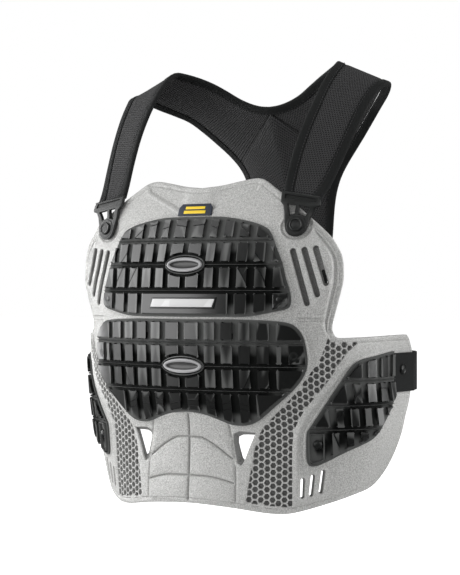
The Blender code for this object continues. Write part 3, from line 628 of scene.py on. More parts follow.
# the foam's outlines and places on one half, in pattern millimetres; relief gives each form's height or depth
foamShell = {
    "edge": ((0, 113.5), (24, 116), (48, 120.5), (64, 123.2), (73, 123.2), (82, 120), (104, 105.5),
             (126, 90), (147, 74.5), (169, 56), (179, 43.5), (185.5, 31.5), (188, 17.5), (188.2, 4),
             (186, -9), (182.3, -27), (179, -44), (179, -53), (183, -59.5), (195, -60.5), (240, -59.5),
             (296, -58.7), (306, -60), (313.5, -68), (320, -80), (320.5, -95), (318, -112), (313, -128),
             (303, -143), (291, -157), (277, -180), (265, -202), (252, -220), (232, -235.5),
             (201, -244), (159, -254.5), (131, -261), (116, -262.5), (96, -261.5), (58, -256.5),
             (20, -253.5), (0, -253)),
    "thick": 6.0, "cell": 5.0, "topBevel": 1.9, "underBevel": 1.2, "span": (0, 322, -264, 124),
    "refine": (0.22, 0.2, 0.16), "seam": 0.001,
    "relief": {"flange": 3.9, "bodyBead": 0.5, "rimBead": 1.1, "rimRise": 0.7, "hemGroove": 1.0, "hemDrop": 0.35,
               "seam": 1.5, "neck": 2.2, "neckBead": 0.5, "seat": 1.3, "seatBead": 0.5, "belly": 1.7,
               "bellyGroove": 2.1, "sideGroove": 1.2, "band": 0.9, "bandBead": 1.3, "wing": 0.6, "plate": 0.75},
    "pocketWall": ((-4.6, -0.9), (-4.1, -0.25), (-1.4, 0.0), (-0.3, 0.55), (3.0, 2.6)),
    "pockets": ((128.5, 38, 147.5, -21, 6.5), (141.5, 39.5, 159, -11, 6.5), (154.5, 41, 168.5, 2, 6.5)),
    "slots": ((164.6, 15.5, 168.6, 3.2, 3.8), (137.2, -223.5, 137.2, -242, 5.0), (149.0, -219.5, 147.5, -240, 5.0),
              (161.0, -214.5, 159.0, -236.5, 5.0)),
    "window": ((57, -171), (80.5, -169.5), (81.5, -171.5), (75, -186.5), (67.5, -205.5), (63, -205.8), (60, -201)),
    "windowFloor": ((62, -175), (79.5, -172.5), (80.5, -174), (75.5, -186.5), (70, -199), (68, -199.5), (65.5, -194)),
    "bodyEdge": ((144.5, 69), (151, 58), (169, 36.5), (174.5, 22), (174.5, 0.7), (170.6, -19.5), (168, -34),
                 (166.7, -43), (170, -60)),
    "neckCrease": ((0, 80), (26.5, 89), (73.5, 110), (80, 119)),
    "bellySide": ((51.5, -149), (51.5, -159), (57, -194), (59, -209), (60, -228.6), (60, -252)),
    "bellyArches": (((55, -200), (36, -186.5), (20, -178), (13, -176.5), (0, -176)),
                    ((57, -228), (46, -225), (28, -221.5), (0, -220.7))),
    "bandRight": ((127.1, -256.4), (125.7, -207.6), (126.7, -174.1), (134.2, -155.3), (148.1, -136.5),
                  (171.4, -110.7), (193.3, -81.3), (210.8, -66.4)),
    "bandLeft": ((70.8, -250.6), (75.2, -220.8), (81.6, -183.3), (91.3, -163.2), (107.7, -146.7), (129.5, -125.4),
                 (143.5, -108.5), (161.2, -85.7), (167.8, -70.5), (171, -61.5)),
    "wingCrease": ((176, -208), (205, -197), (230, -185), (250, -169), (268, -150)),
    "pitPitch": (6.85, 7.9), "pitTop": 3.7, "pitFloor": 3.2, "pitDepth": 3.2,
}
plateShapes = {
    "upper": ((0, 79), (30, 79), (48, 77.5), (65, 74.5), (82, 70.5), (95, 65), (101, 58.5), (106, 50),
              (112, 37), (118, 24.5), (123, 7), (128.5, -9), (129.5, -20.5), (126, -27), (112, -30.5),
              (100, -33), (82, -36), (60, -36.6), (0, -36.8)),
    "lower": ((0, -40), (67, -39.7), (113.5, -41.5), (132, -45.5), (142, -56), (146, -68), (148, -84),
              (146, -98), (136.5, -113.5), (122, -127.5), (103.5, -143), (90, -154), (78, -160),
              (66, -161.5), (54, -160), (40, -155), (21, -149), (0, -146.8)),
    "side": ((271.5, -77.5), (255.5, -79), (231, -82.5), (217.5, -84.6), (207, -88.2), (198, -94.6),
             (190.5, -104), (183, -114), (171, -129), (153, -152.8), (145, -163.6), (141.3, -169.7),
             (140.4, -185), (141, -200.5), (144.6, -206.7), (153, -206.8), (167, -200.8), (187.5, -191.3),
             (209.5, -183), (222, -177.2), (232, -169), (239.5, -160.3), (256, -144.5), (271.5, -131)),
}
foamOutline = smoothLine(foamShell["edge"], 4)
foamOutline[0][0] = foamOutline[-1][0] = 0.0
bandRight, bandLeft = smoothLine(foamShell["bandRight"], 3), smoothLine(foamShell["bandLeft"], 3)
bandShape = np.vstack([bandRight, np.linspace(bandRight[-1], bandLeft[-1], 8)[1:-1], bandLeft[::-1],
                       np.linspace(bandLeft[0], bandRight[0], 10)[1:-1]])
bodyEdge = smoothLine(foamShell["bodyEdge"], 3)
plateZones = [np.array(bothSides(plateShapes["upper"])), np.array(bothSides(plateShapes["lower"])),
              np.array(plateShapes["side"])]


def foamRelief(points):
    # how far the front of the foam stands out or sinks at flat points
    x, y = np.abs(points[:, 0]), points[:, 1]
    tall = foamShell["relief"]
    gap = lineField(x, y, foamOutline)[0]
    distance, side, along = lineField(x, y, bodyEdge)
    beyond = distance * side
    hold = softStep(along, 0.02, 0.12) * (1 - softStep(along, 0.94, 0.995))
    flange = softStep(beyond, -0.6, 3.2) * hold
    lift = -tall["flange"] * flange + tall["bodyBead"] * ridge(beyond + 1.9, 1.5) * hold
    lift += tall["rimBead"] * ridge(gap - 6.6, 0.8) * flange + tall["rimRise"] * (1 - softStep(gap, 1.5, 4.5)) * flange
    lift -= (tall["hemGroove"] * ridge(gap - 6.0, 0.9) + tall["hemDrop"] * (1 - softStep(gap, 4.6, 6.2))) * (1 - flange)
    reach = softStep(x, 134, 139) * (1 - softStep(x, 165, 169))
    lift -= tall["seam"] * (softStep(y, -43.2, -41.8) - softStep(y, -38.4, -37.0)) * reach
    distance, side, along = lineField(x, y, foamShell["neckCrease"])
    neck = tall["neck"] * softStep(distance * side, -0.8, 2.4) - tall["neckBead"] * ridge(distance * side + 2.2, 1.4)
    lift -= neck * (1 - softStep(x, 72, 84)) * softStep(x, 10, 26)
    seat = np.hypot((x - 130) / 18.5, (y - 66.5) / 15.5)  # the hollow under each buckle
    lift += -tall["seat"] * (1 - softStep(seat, 0.90, 1.02)) + tall["seatBead"] * ridge(seat - 1.07, 0.045)
    distance, side, along = lineField(x, y, foamShell["bellySide"])
    belly = softStep(-distance * side, 0.0, 2.5) * softStep(y, -252, -248) * (1 - softStep(y, -152, -146))
    nearest = np.minimum(distance, x)
    for arch in foamShell["bellyArches"]:
        nearest = np.minimum(nearest, lineField(x, y, smoothLine(arch, 4))[0])
    lift += belly * (tall["belly"] * (1 - np.exp(-nearest / 6.0)) - tall["bellyGroove"] * ridge(nearest, 1.1))
    lift -= tall["sideGroove"] * ridge(distance, 1.1) * softStep(y, -252, -248) * (1 - softStep(y, -162, -156))
    lift -= tall["band"] * softStep(shapeDepth(x, y, bandShape), -0.5, 2.5)
    distance, side, along = lineField(x, y, bandRight)
    bead = tall["bandBead"] * ridge(distance - 4.5, 3.2) * (side < 0)
    lift += bead * softStep(along, 0.04, 0.16) * (1 - softStep(along, 0.86, 0.98))
    distance, side, along = lineField(x, y, foamShell["wingCrease"])
    wing = tall["wing"] * softStep(-distance * side, -0.6, 2.2) * softStep(x, 176, 186)
    lift -= wing * (1 - softStep(x, 258, 268)) * (1 - softStep(distance, 10, 26))
    for zone in plateZones:
        lift += tall["plate"] * softStep(shapeDepth(x, y, zone), -3.4, -1.6)
    return lift


def refineFoam(bm, limit):
    # cuts the faces of the front in which the relief changes most
    tops = [face for face in bm.faces if face.normal.z > 0.9 and face.calc_center_bounds().z > -0.4]
    samples, owner = [], []
    for k, face in enumerate(tops):
        xs, ys = [vert.co.x for vert in face.verts], [vert.co.y for vert in face.verts]
        for a in (0.05, 0.35, 0.65, 0.95):
            for b in (0.05, 0.35, 0.65, 0.95):
                samples.append((min(xs) * (1 - a) + max(xs) * a, min(ys) * (1 - b) + max(ys) * b, 0.0))
    heights = foamRelief(np.array(samples)).reshape(-1, 16)
    spread = heights.max(axis=1) - heights.min(axis=1)
    chosen = [face for face, value in zip(tops, spread) if value > limit and len(face.verts) < 9]
    edges = {edge for face in chosen for edge in face.edges if edge.calc_length() > 0.9}
    bmesh.ops.subdivide_edges(bm, edges=list(edges), cuts=1, use_grid_fill=True)


def slotOutline(x1, y1, x2, y2, width, steps=8):
    # a slot with round ends
    turn = math.atan2(y2 - y1, x2 - x1)
    points = []
    for x, y, first in ((x2, y2, turn - math.pi / 2), (x1, y1, turn + math.pi / 2)):
        for k in range(steps + 1):
            angle = first + math.pi * k / steps
            points.append((x + math.cos(angle) * width / 2, y + math.sin(angle) * width / 2))
    return points


def pitOutlines():
    # flat-topped six-sided pits; those on the edge of the band are cut short by it
    stepX, stepY = foamShell["pitPitch"]
    places = np.array([(62.0 + stepX * column, -262.0 + stepY * (row + 0.5 * (column % 2)))
                       for column in range(24) for row in range(27)])
    depth = shapeDepth(places[:, 0], places[:, 1], bandShape)
    room = (depth > -2.2) & (shapeDepth(places[:, 0], places[:, 1], foamOutline) > 5.6)
    for zone in plateZones:
        room &= shapeDepth(places[:, 0], places[:, 1], zone) < -3.6
    room &= shapeDepth(places[:, 0], places[:, 1], np.array(foamShell["window"], float)) < -5.5
    radius = foamShell["pitTop"]
    edges = list(zip(bandShape, np.roll(bandShape, -1, axis=0)))
    outlines = []
    for place, inward in zip(places[room], depth[room]):
        points = [(place[0] + math.cos(k * math.pi / 3) * radius, place[1] + math.sin(k * math.pi / 3) * radius)
                  for k in range(6)]
        if inward < radius + 0.5:
            bm = bmesh.new()
            flatFace(bm, points)
            nearest = min(edges, key=lambda edge: np.hypot(*(place - (edge[0] + edge[1]) / 2)))
            along = nearest[1] - nearest[0]
            normal = Vector((along[1], -along[0], 0)).normalized()
            probe = np.array([(nearest[0] + nearest[1]) / 2 + np.array(normal[:2])])
            if insideShape(probe[:, 0], probe[:, 1], bandShape)[0]:
                normal = -normal
            bmesh.ops.bisect_plane(bm, geom=everything(bm), dist=0.001, plane_no=normal, clear_outer=True,
                                   plane_co=Vector((*nearest[0], 0)) - normal * 0.7)
            points = [tuple(vert.co[:2]) for face in bm.faces for vert in face.verts]
            small = not points or bm.faces[:][0].calc_area() < 7.0
            bm.free()
            if small:
                continue
        outlines.append(points)
    return outlines


def foamCutters():
    # one cutter after another: blind pockets, slots right through, the windows, the pits
    cutter = bmesh.new()
    for slot in foamShell["pockets"]:
        addPrism(cutter, slotOutline(*slot), foamShell["pocketWall"])
    yield cutter
    cutter = bmesh.new()
    for x1, y1, x2, y2, width in foamShell["slots"]:
        high = slotOutline(x1, y1, x2, y2, width)
        if width < 4:
            addPrism(cutter, high, ((-9.0, 0.0), (-4.0, 0.0)))
            continue
        low = slotOutline(x1 - 0.9, y1, x2 - 0.9, y2, width * 0.62)
        bridgeOutlines(cutter, ((low, -9.0), (low, -6.5), (high, -1.4), (grownOutline(high, 0.5), -0.3),
                                (grownOutline(high, 2.6), 3.0)))
    yield cutter
    cutter = bmesh.new()
    high, low = (smoothLine(foamShell[key], 3, True) for key in ("window", "windowFloor"))
    bridgeOutlines(cutter, ((low, -9.0), (low, -6.5), (high, -1.2), (grownOutline(high, 0.8), -0.2),
                            (grownOutline(high, 3.0), 3.0)))
    yield cutter
    cutter = bmesh.new()
    for points in pitOutlines():
        pit = bmesh.new()
        addPrism(pit, points, ((-foamShell["pitDepth"], foamShell["pitFloor"] - foamShell["pitTop"]), (-0.25, 0.0),
                               (0.4, 0.5)))
        joinInto(cutter, pit)
    yield cutter


def makeFoamShell():
    thick, seam = foamShell["thick"], foamShell["seam"]
    bm = bmesh.new()
    flatFace(bm, foamOutline)
    thicken(bm, -thick, 0.0)
    for out, width, segments in ((0.0, foamShell["topBevel"], 3), (-thick, foamShell["underBevel"], 2)):
        rim = [edge for edge in rimEdges(bm, out) if any(vert.co.x > seam for vert in edge.verts)]
        bevelEdges(bm, rim, width, segments)
    left, right, bottom, top = foamShell["span"]
    for x in spaced(left, right, foamShell["cell"]):
        cutLine(bm, bm.faces[:], (x, 0, 0), (1, 0, 0))
    for y in spaced(bottom, top, foamShell["cell"]):
        cutLine(bm, bm.faces[:], (0, y, 0), (0, 1, 0))
    for cutter in foamCutters():
        bm = carve(bm, cutter)
    for limit in foamShell["refine"]:
        bm.normal_update()
        refineFoam(bm, limit)
    splitLarge(bm)
    middle = [face for face in bm.faces if all(abs(vert.co.x) < seam for vert in face.verts)]
    bmesh.ops.delete(bm, geom=middle, context="FACES")
    mirrorMesh(bm, seam, 0.002)
    cuts = []  # the walls and floors of the holes get the darker pit foam as painted shade
    for face in bm.faces:
        out = face.calc_center_bounds().z
        if (-5.9 < out < -1.9 and face.normal.z < 0.85) or (-4.8 < out < -3.0 and face.normal.z >= 0.85):
            cuts.append(face)
    centres = np.array([face.calc_center_bounds() for face in cuts])
    coarseOutline = np.array(bothSides(foamShell["edge"]))
    for face, gap in zip(cuts, lineField(centres[:, 0], centres[:, 1], coarseOutline)[0]):
        if gap > 3.0:
            face.material_index = 1
    wrapMesh(bm, lambda points: foamRelief(points) * np.clip((points[:, 2] + thick) / (thick - 2.0), 0, 1))
    finishPiece("foamShell", bm, "grey_foam", ["shell"], [foamMaterial, pitShadeMaterial], 38)


makeFoamShell()

# tiles of the hard plates: each row is (bottom, top, middles of the grooves), each badge (up, half length, half height)
tilePlan = {
    "under": 1.0, "floor": 2.8, "top": 6.6, "groove": 3.6, "rowGroove": 1.9,
    "upperRows": ((51.5, 80, (0, 23.5, 41.5, 61, 81.5, 104)), (23.2, 51.5, (0, 23.5, 41.5, 61, 81.5, 102)),
                  (-6.7, 23.2, (0, 23.5, 42, 62, 83, 104.5)), (-38, -6.7, (61, 83, 105))),
    "lowerRows": ((-66.5, -39, (0, 25.5, 46, 67, 87.5, 109.5)), (-93.5, -66.5, (0, 25.5, 46, 67, 87.5, 109, 123)),
                  (-121.5, -93.5, (0, 25.5, 46, 67, 87.5, 109)), (-163, -121.5, (0, 24, 44, 64, 85))),
    "sideRows": ((-109.8, -77, (214.5, 235, 258)), (-138.2, -109.8, (194.5, 213, 232.5, 253)),
                 (-165.6, -138.2, (171.5, 188.5, 206.5, 223.5, 241)), (-208, -165.6, (165.5, 182, 199.5, 218))),
    "lip": 0.7, "round": 2.0, "markHalf": 0.5, "markDeep": 0.55, "wallTop": 5.75,
    "tileSection": ((1.0, 6.6), (1.1, 6.59), (1.22, 6.52), (1.68, 6.0), (1.76, 5.85), (1.8, 5.7), (2.0, 2.5)),
    "rimSection": ((-0.1, 2.5), (0.0, 5.3), (0.3, 5.85), (0.5, 5.95), (1.0, 5.95), (1.3, 5.85), (1.65, 5.4),
                   (2.0, 2.5)),
    "lines": {
        "upper": (((79.5, 46.3), (97.6, 22.3)), ((-79.5, 46.3), (-97.6, 22.3)), ((68.2, 19.0), (82.2, -4.9)),
                  ((-68.2, 19.0), (-82.2, -4.9)), ((91.4, 18.9), (105.0, -4.9)), ((-91.4, 18.9), (-105.0, -4.9)),
                  ((-68.6, 62.4), (-62.3, 68.2), (-55.1, 69.3)),
                  ((-46.1, 56.0), (-40.7, 64.2), (-15.4, 70.8), (-3.7, 67.1), (17.0, 70.3), (33.0, 67.7), (53.1, 53.5)),
                  ((58.4, 66.1), (68.0, 67.1), (77.9, 57.8))),
        "lower": (((-82.3, -139.0), (-59.7, -132.0), (-36.7, -131.0), (-19.1, -138.6), (4.5, -133.0), (27.7, -132.3),
                   (45.6, -137.5), (63.9, -133.6), (84.0, -139.0)),
                  ((-82.3, -146.0), (-59.7, -139.0), (-36.7, -138.0), (-19.1, -145.6), (4.5, -140.0), (27.7, -139.3),
                   (45.6, -144.5), (63.9, -140.6), (84.0, -146.0)),
                  ((77.1, -115.0), (85.8, -97.8)), ((-77.1, -115.0), (-85.8, -97.8)),
                  ((99.5, -119.2), (111.3, -104.3)), ((-99.5, -119.2), (-111.3, -104.3))),
        "side": (((255.0, -119.5), (212.9, -119.1), (207.5, -121.2), (191.4, -135.6)),
                 ((187.2, -142.4), (179.8, -148.0), (174.6, -154.9), (172.9, -162.9)),
                 ((171.5, -167.5), (171.0, -188.2), (179.0, -187.2), (195.5, -180.8), (211.8, -173.4))),
    },
    "badges": {"upper": (23.2, 23.2, 8.4), "lower": (-93.5, 25.0, 8.4)},
    "badgeRoom": 3.2, "collar": 3.0, "collarSection": ((0, -0.2), (0.0, 2.2), (0.3, 2.7), (0.8, 2.9), (1.3, 2.6),
                                                       (1.5, -0.2)),
    "beadWide": 1.1, "beadTall": 3.0, "beadEnds": (1.4, 1.2),
    "pockets": ((116.3, -17.0), (132.5, -81.0), (153.5, -182.3)),
}


def clippedCell(outline, x1, x2, y1, y2):
    # the part of an outline that lies in one cell, as a list of points
    bm = bmesh.new()
    flatFace(bm, outline)
    for point, normal in (((x1, 0, 0), (-1, 0, 0)), ((x2, 0, 0), (1, 0, 0)), ((0, y1, 0), (0, -1, 0)),
                          ((0, y2, 0), (0, 1, 0))):
        bmesh.ops.bisect_plane(bm, geom=everything(bm), dist=0.001, plane_co=point, plane_no=normal, clear_outer=True)
    faces = sorted(bm.faces, key=lambda face: face.calc_area())
    points = []
    if faces and faces[-1].calc_area() > 9.0:
        for vert in faces[-1].verts:
            if not points or math.dist(points[-1], vert.co[:2]) > 1.1:
                points.append(tuple(vert.co[:2]))
        if math.dist(points[0], points[-1]) < 1.1:
            points.pop()
    bm.free()
    return points


def biteOval(points, up, halfLength, halfHeight):
    # takes an oval bite out of a tile's outline
    fine = []
    for a, b in zip(points, points[1:] + points[:1]):
        steps = max(1, round(math.dist(a, b) / 0.5))
        fine += [(a[0] + (b[0] - a[0]) * k / steps, a[1] + (b[1] - a[1]) * k / steps) for k in range(steps)]
    inside = [(x / halfLength) ** 2 + ((y - up) / halfHeight) ** 2 < 1 for x, y in fine]
    if not any(inside):
        return points
    if all(inside):
        return []
    first = next(k for k in range(len(fine)) if not inside[k] and inside[(k + 1) % len(fine)])
    order = [(first + k) % len(fine) for k in range(len(fine))]
    last = next(k for k in order[1:] if not inside[k])
    angles = [math.atan2((fine[k][1] - up) / halfHeight, fine[k][0] / halfLength) for k in (first, last)]
    turn = (angles[1] - angles[0] + math.pi) % (2 * math.pi) - math.pi
    arc = [(math.cos(angles[0] + turn * k / 8) * halfLength, up + math.sin(angles[0] + turn * k / 8) * halfHeight)
           for k in range(9)]
    rest = [point for point in points if (point[0] / halfLength) ** 2 + ((point[1] - up) / halfHeight) ** 2 >= 1.02]
    # the corners that stay, in their own order from the end of the bite
    rest.sort(key=lambda point: (order.index(min(range(len(fine)), key=lambda k: math.dist(fine[k], point)))
                                 - order.index(last)) % len(fine))
    cleaned = []
    for point in arc + rest:
        if not cleaned or math.dist(cleaned[-1], point) > 0.9:
            cleaned.append(point)
    if math.dist(cleaned[0], cleaned[-1]) < 0.9:
        cleaned.pop()
    return cleaned


def grownRing(points, amount):
    # the outline moved outward with rounded corners: the same number of points for every amount
    made = []
    for k, point in enumerate(points):
        before, after = points[k - 1], points[(k + 1) % len(points)]
        first = math.atan2(point[0] - before[0], before[1] - point[1])
        second = math.atan2(after[0] - point[0], point[1] - after[1])
        turn = (second - first + math.pi) % (2 * math.pi) - math.pi
        if turn > 0.3:
            steps = 4
            angles = [first + turn * j / steps for j in range(steps + 1)]
            reach = amount
        else:
            angles = [first + turn / 2]
            reach = amount / max(0.5, math.cos(turn / 2))
        made += [(point[0] + math.cos(angle) * reach, point[1] + math.sin(angle) * reach) for angle in angles]
    return made


def holdsFixing(points):
    # a tile with a rivet or screw in it is an open rim
    x, y = np.mean(points, axis=0)
    return any(abs(abs(x) - across) < 9.0 and abs(y - up) < 14.0 for across, up in tilePlan["pockets"])


def engrave(tile, points, marks):
    # cuts a shallow groove across a tile where a mark crosses it
    corners = np.array(points)
    low, high = corners.min(axis=0), corners.max(axis=0)
    for mark in marks:
        fine = np.vstack([np.linspace(start, end, 14) for start, end in zip(mark, mark[1:])])
        inside = fine[((fine > low) & (fine < high)).all(axis=1)]
        if len(inside) < 4:
            continue
        along = inside[-1] - inside[0]
        normal = np.array((-along[1], along[0])) / np.hypot(*along)
        for shift in (-tilePlan["markHalf"], 0.0, tilePlan["markHalf"]):
            bmesh.ops.bisect_plane(tile, geom=everything(tile), dist=0.001, plane_no=(*normal, 0),
                                   plane_co=(*(inside[0] + normal * shift), 0))
        for vert in tile.verts:
            if abs(np.dot(np.array(vert.co[:2]) - inside[0], normal)) < 0.02 and vert.co.z > tilePlan["top"] - 0.3:
                vert.co.z -= tilePlan["markDeep"]


def addTile(bm, points, marks):
    # walls follow a section of (grow, out) pairs round the tile's outline
    tile = bmesh.new()
    pocket = holdsFixing(points)
    section = tilePlan["rimSection" if pocket else "tileSection"]
    bridgeRings(tile, [ringOf(tile, grownRing(points, grow), out) for grow, out in section], pocket)
    bmesh.ops.remove_doubles(tile, verts=tile.verts[:], dist=0.001)
    faceOut(tile)
    if not pocket:
        engrave(tile, points, marks)
    joinInto(bm, tile)


def tiledPlate(outline, rows, mirrored, marks, badge=None):
    # a base with a tile in every cell of its rows, a raised line along each groove between rows
    bm = bmesh.new()
    flatFace(bm, outline)
    thicken(bm, tilePlan["under"], tilePlan["floor"])
    acrossInset, upInset = (tilePlan[key] / 2 + tilePlan["round"] for key in ("groove", "rowGroove"))
    wide = max(abs(point[0]) for point in outline)
    reach = wide + 5
    inner = grownOutline(outline, -tilePlan["lip"] - tilePlan["round"])
    bite = tilePlan["badgeRoom"] + tilePlan["round"]
    for bottom, high, columns in rows:
        stops = sorted(set(columns) | ({-across for across in columns} if mirrored else set()))
        for left, right in zip([-reach] + stops, stops + [reach]):
            points = clippedCell(inner, left + acrossInset, right - acrossInset, bottom + upInset, high - upInset)
            if badge and points:
                points = biteOval(points, badge[0], badge[1] + bite, badge[2] + bite)
            if len(points) > 2:
                addTile(bm, points, marks)
    for face in bm.faces:  # the walls and floor of the grooves take the matte copy, painted shade that hides their reflections
        if max(vert.co.z for vert in face.verts) < tilePlan["wallTop"]:
            face.material_index = 1
    for x in spaced(-wide, wide, 7.0):
        cutLine(bm, [face for face in bm.faces if faceSpan(face, 0) > 10.0], (x, 0, 0), (1, 0, 0))
    for y in spaced(min(point[1] for point in outline), max(point[1] for point in outline), 9.0):
        cutLine(bm, [face for face in bm.faces if faceSpan(face, 1) > 40.0], (0, y, 0), (0, 1, 0))
    splitLarge(bm)
    end = tilePlan["beadEnds"][bool(badge)]
    for level in sorted(row[0] for row in rows)[1:]:
        low, high = levelReach(outline, level)
        stops = [low + end, high - end]
        if badge and abs(level - badge[0]) < 6:
            stops[1:1] = [-badge[1] - end - tilePlan["collar"], badge[1] + end + tilePlan["collar"]]
        for x1, x2 in zip(stops[::2], stops[1::2]):
            addBead(bm, x1, x2, level)
    return bm


def faceSpan(face, axis):
    places = [vert.co[axis] for vert in face.verts]
    return max(places) - min(places)


def addBead(bm, x1, x2, level):
    made = bmesh.ops.create_grid(bm, x_segments=max(2, round((x2 - x1) / 4)), y_segments=6, size=1.0)["verts"]
    for vert in made:
        across, turn = x1 + (x2 - x1) * (vert.co.x + 1) / 2, vert.co.y
        rise = tilePlan["beadTall"] * math.sqrt(max(0.0, 1 - turn * turn))
        vert.co = (across, level + turn * tilePlan["beadWide"] / 2, tilePlan["floor"] - 0.1 + rise)


def levelReach(outline, level):
    places = []
    for a, b in zip(outline, np.roll(outline, -1, axis=0)):
        if (a[1] - level) * (b[1] - level) < 0:
            places.append(a[0] + (b[0] - a[0]) * (level - a[1]) / (b[1] - a[1]))
    return min(places), max(places)


def ovalLoop(bm, up, halfLength, halfHeight, out, sides=48):
    made = bmesh.ops.create_circle(bm, segments=sides, radius=1.0)["verts"]
    for vert in made:
        vert.co = (vert.co.x * halfLength, up + vert.co.y * halfHeight, out)
    return list({edge for vert in made for edge in vert.link_edges})


def ovalRings(bm, up, halfLength, halfHeight, section):
    return [ovalLoop(bm, up, halfLength - inward, halfHeight - inward, out) for inward, out in section]


def makePlates():
    collar, floor = tilePlan["collar"], tilePlan["floor"]
    for key in ("upper", "lower"):
        half = smoothLine(plateShapes[key], 3)
        half[0][0] = half[-1][0] = 0.0
        outline = np.array(bothSides([tuple(point) for point in half]))
        badge = tilePlan["badges"][key]
        bm = tiledPlate(outline, tilePlan[key + "Rows"], True, tilePlan["lines"][key], badge)
        section = [(inward, floor + out) for inward, out in tilePlan["collarSection"]]
        bridgeRings(bm, ovalRings(bm, badge[0], badge[1] + collar, badge[2] + collar, section), True)
        finishPlate(key + "TilePlate", bm, key + "_plate")
    bm = tiledPlate(smoothLine(plateShapes["side"], 3), tilePlan["sideRows"], False, tilePlan["lines"]["side"])
    for side, half in (("left", bm), ("right", mirroredCopy(bm))):
        finishPlate(side + "TilePlate", half, "side_plate_" + side)


def finishPlate(name, bm, node):
    wrapMesh(bm)
    finishPiece(name, bm, "black_plate_plastic", [node], [plateMaterial, grooveShadeMaterial], 32)


makePlates()

# small pieces on the plates: ring sections are (inward, below the ring's top), bars are (left, right, bottom, top)
smallPlan = {
    "ringLow": 0.05, "ringHeight": 4.4,
    "ringSection": ((0.0, 1.3), (0.25, 0.6), (0.8, 0.12), (1.5, 0.0), (2.6, 0.1), (3.4, 0.5), (4.0, 1.3), (4.4, 2.2),
                    (5.4, 3.0), (6.8, 3.4)),
    "barHalf": (44.0, 6.5), "barUp": -21.0, "barLow": 7.15, "barLean": 3.0, "bedThick": 0.6, "blankThick": 1.4,
    "blankInset": 1.9,
    "patch": ((22.5, 80.4), (22.5, 90.0), (18.5, 94.5), (-18.5, 94.5), (-22.5, 90.0), (-22.5, 80.4)),
    "patchDepth": (0.9, 2.4), "labelBars": ((-13.0, 13.0, 88.2, 91.4), (-14.5, 14.5, 83.0, 86.6)),
    "labelBarDepth": (2.35, 2.9),
}


def makeRings():
    for key, badge in tilePlan["badges"].items():
        low = tilePlan["floor"] + smallPlan["ringLow"]
        high = low + smallPlan["ringHeight"]
        section = [(0, low)] + [(inward, high - below) for inward, below in smallPlan["ringSection"]]
        bm = bmesh.new()
        bridgeRings(bm, ovalRings(bm, *badge, section))
        faceOut(bm)
        for face in bm.faces:  # the dish inside the ring takes the darker grey as painted shade
            if face.calc_center_bounds().z < high - 1.6 and face.normal.z > 0.3:
                face.material_index = 1
        wrapMesh(bm)
        finishPiece(key + "Ring", bm, "grey_plastic", [key + "_badge"], [ringMaterial, dishShadeMaterial], 60)


def thinPiece(bm, outline, low, high, bevel):
    # a flat piece with a soft edge, cut often enough to bend
    made = bmesh.new()
    flatFace(made, outline)
    thicken(made, low, high)
    bevelEdges(made, rimEdges(made, high), bevel, 3)
    reach = [point[0] for point in outline]
    for x in spaced(min(reach), max(reach), 7.0):
        cutLine(made, made.faces[:], (x, 0, 0), (1, 0, 0))
    joinInto(bm, made)


def finishThin(name, outlines, low, high, bevel, slotName, nodes, material):
    bm = bmesh.new()
    for outline in outlines:
        thinPiece(bm, outline, low, high, bevel)
    wrapMesh(bm)
    finishPiece(name, bm, slotName, nodes, [material], 30)


def makeNameBar():
    halfLength, halfHeight = smallPlan["barHalf"]
    low, up, lean = smallPlan["barLow"], smallPlan["barUp"], smallPlan["barLean"]
    inner = smallPlan["blankInset"]
    for name, inset, thick, material, nodes in (("nameBed", 0.0, "bedThick", satinMaterial, ["name_bar"]),
                                                ("nameBlank", inner, "blankThick", whiteMaterial, [])):
        x, y = halfLength - inset, halfHeight - inset
        outline = [(-x, up - y), (x - lean, up - y), (x, up + y), (-x + lean, up + y)]
        finishThin(name, [outline], low, low + smallPlan[thick], 0.4, "white_plastic", nodes, material)


def makeLabel():
    finishThin("labelPatch", [smallPlan["patch"]], *smallPlan["patchDepth"], 0.5, "dark_rubber", ["label_patch"],
               rubberMaterial)
    bars = [[(x1, low), (x2, low), (x2, high), (x1, high)] for x1, x2, low, high in smallPlan["labelBars"]]
    finishThin("labelBars", bars, *smallPlan["labelBarDepth"], 0.2, "dark_rubber", [], yellowMaterial)


makeRings()
makeNameBar()
makeLabel()

# turned fixings: (across, up, out, profile of (radius, height) from the top's middle round to the base's)
fixingPlan = {
    "upper_rivet": (116.3, -17.0, 3.15, ((0, 3.4), (1.6, 3.25), (3.0, 2.8), (4.1, 2.0), (4.7, 1.0), (5.0, 0.4),
                                         (5.0, 0), (0, 0))),
    "lower_screw": (132.5, -81.0, 3.15, ((0, 1.0), (1.9, 1.0), (2.1, 1.2), (2.2, 2.5), (2.6, 2.8), (4.6, 2.8),
                                         (5.2, 2.5), (5.6, 1.9), (5.6, 0), (0, 0))),
    "side_rivet": (153.5, -182.3, 3.15, ((0, 3.4), (1.8, 3.25), (3.3, 2.8), (4.5, 2.0), (5.1, 1.0), (5.4, 0.4),
                                         (5.4, 0), (0, 0))),
    "buckle_rivet": (130.0, 68.0, 5.35, ((0, 1.7), (4.6, 1.55), (5.2, 1.35), (5.6, 1.4), (6.0, 2.0), (6.7, 2.2),
                                         (7.3, 1.9), (7.6, 1.2), (7.6, 0), (0, 0))),
    "tab_snap": (292.0, -99.0, 2.95, ((0, 1.5), (3.6, 1.4), (4.1, 1.1), (4.5, 1.3), (5.2, 1.8), (5.8, 1.3),
                                      (6.0, 0.6), (6.0, 0), (0, 0))),
}
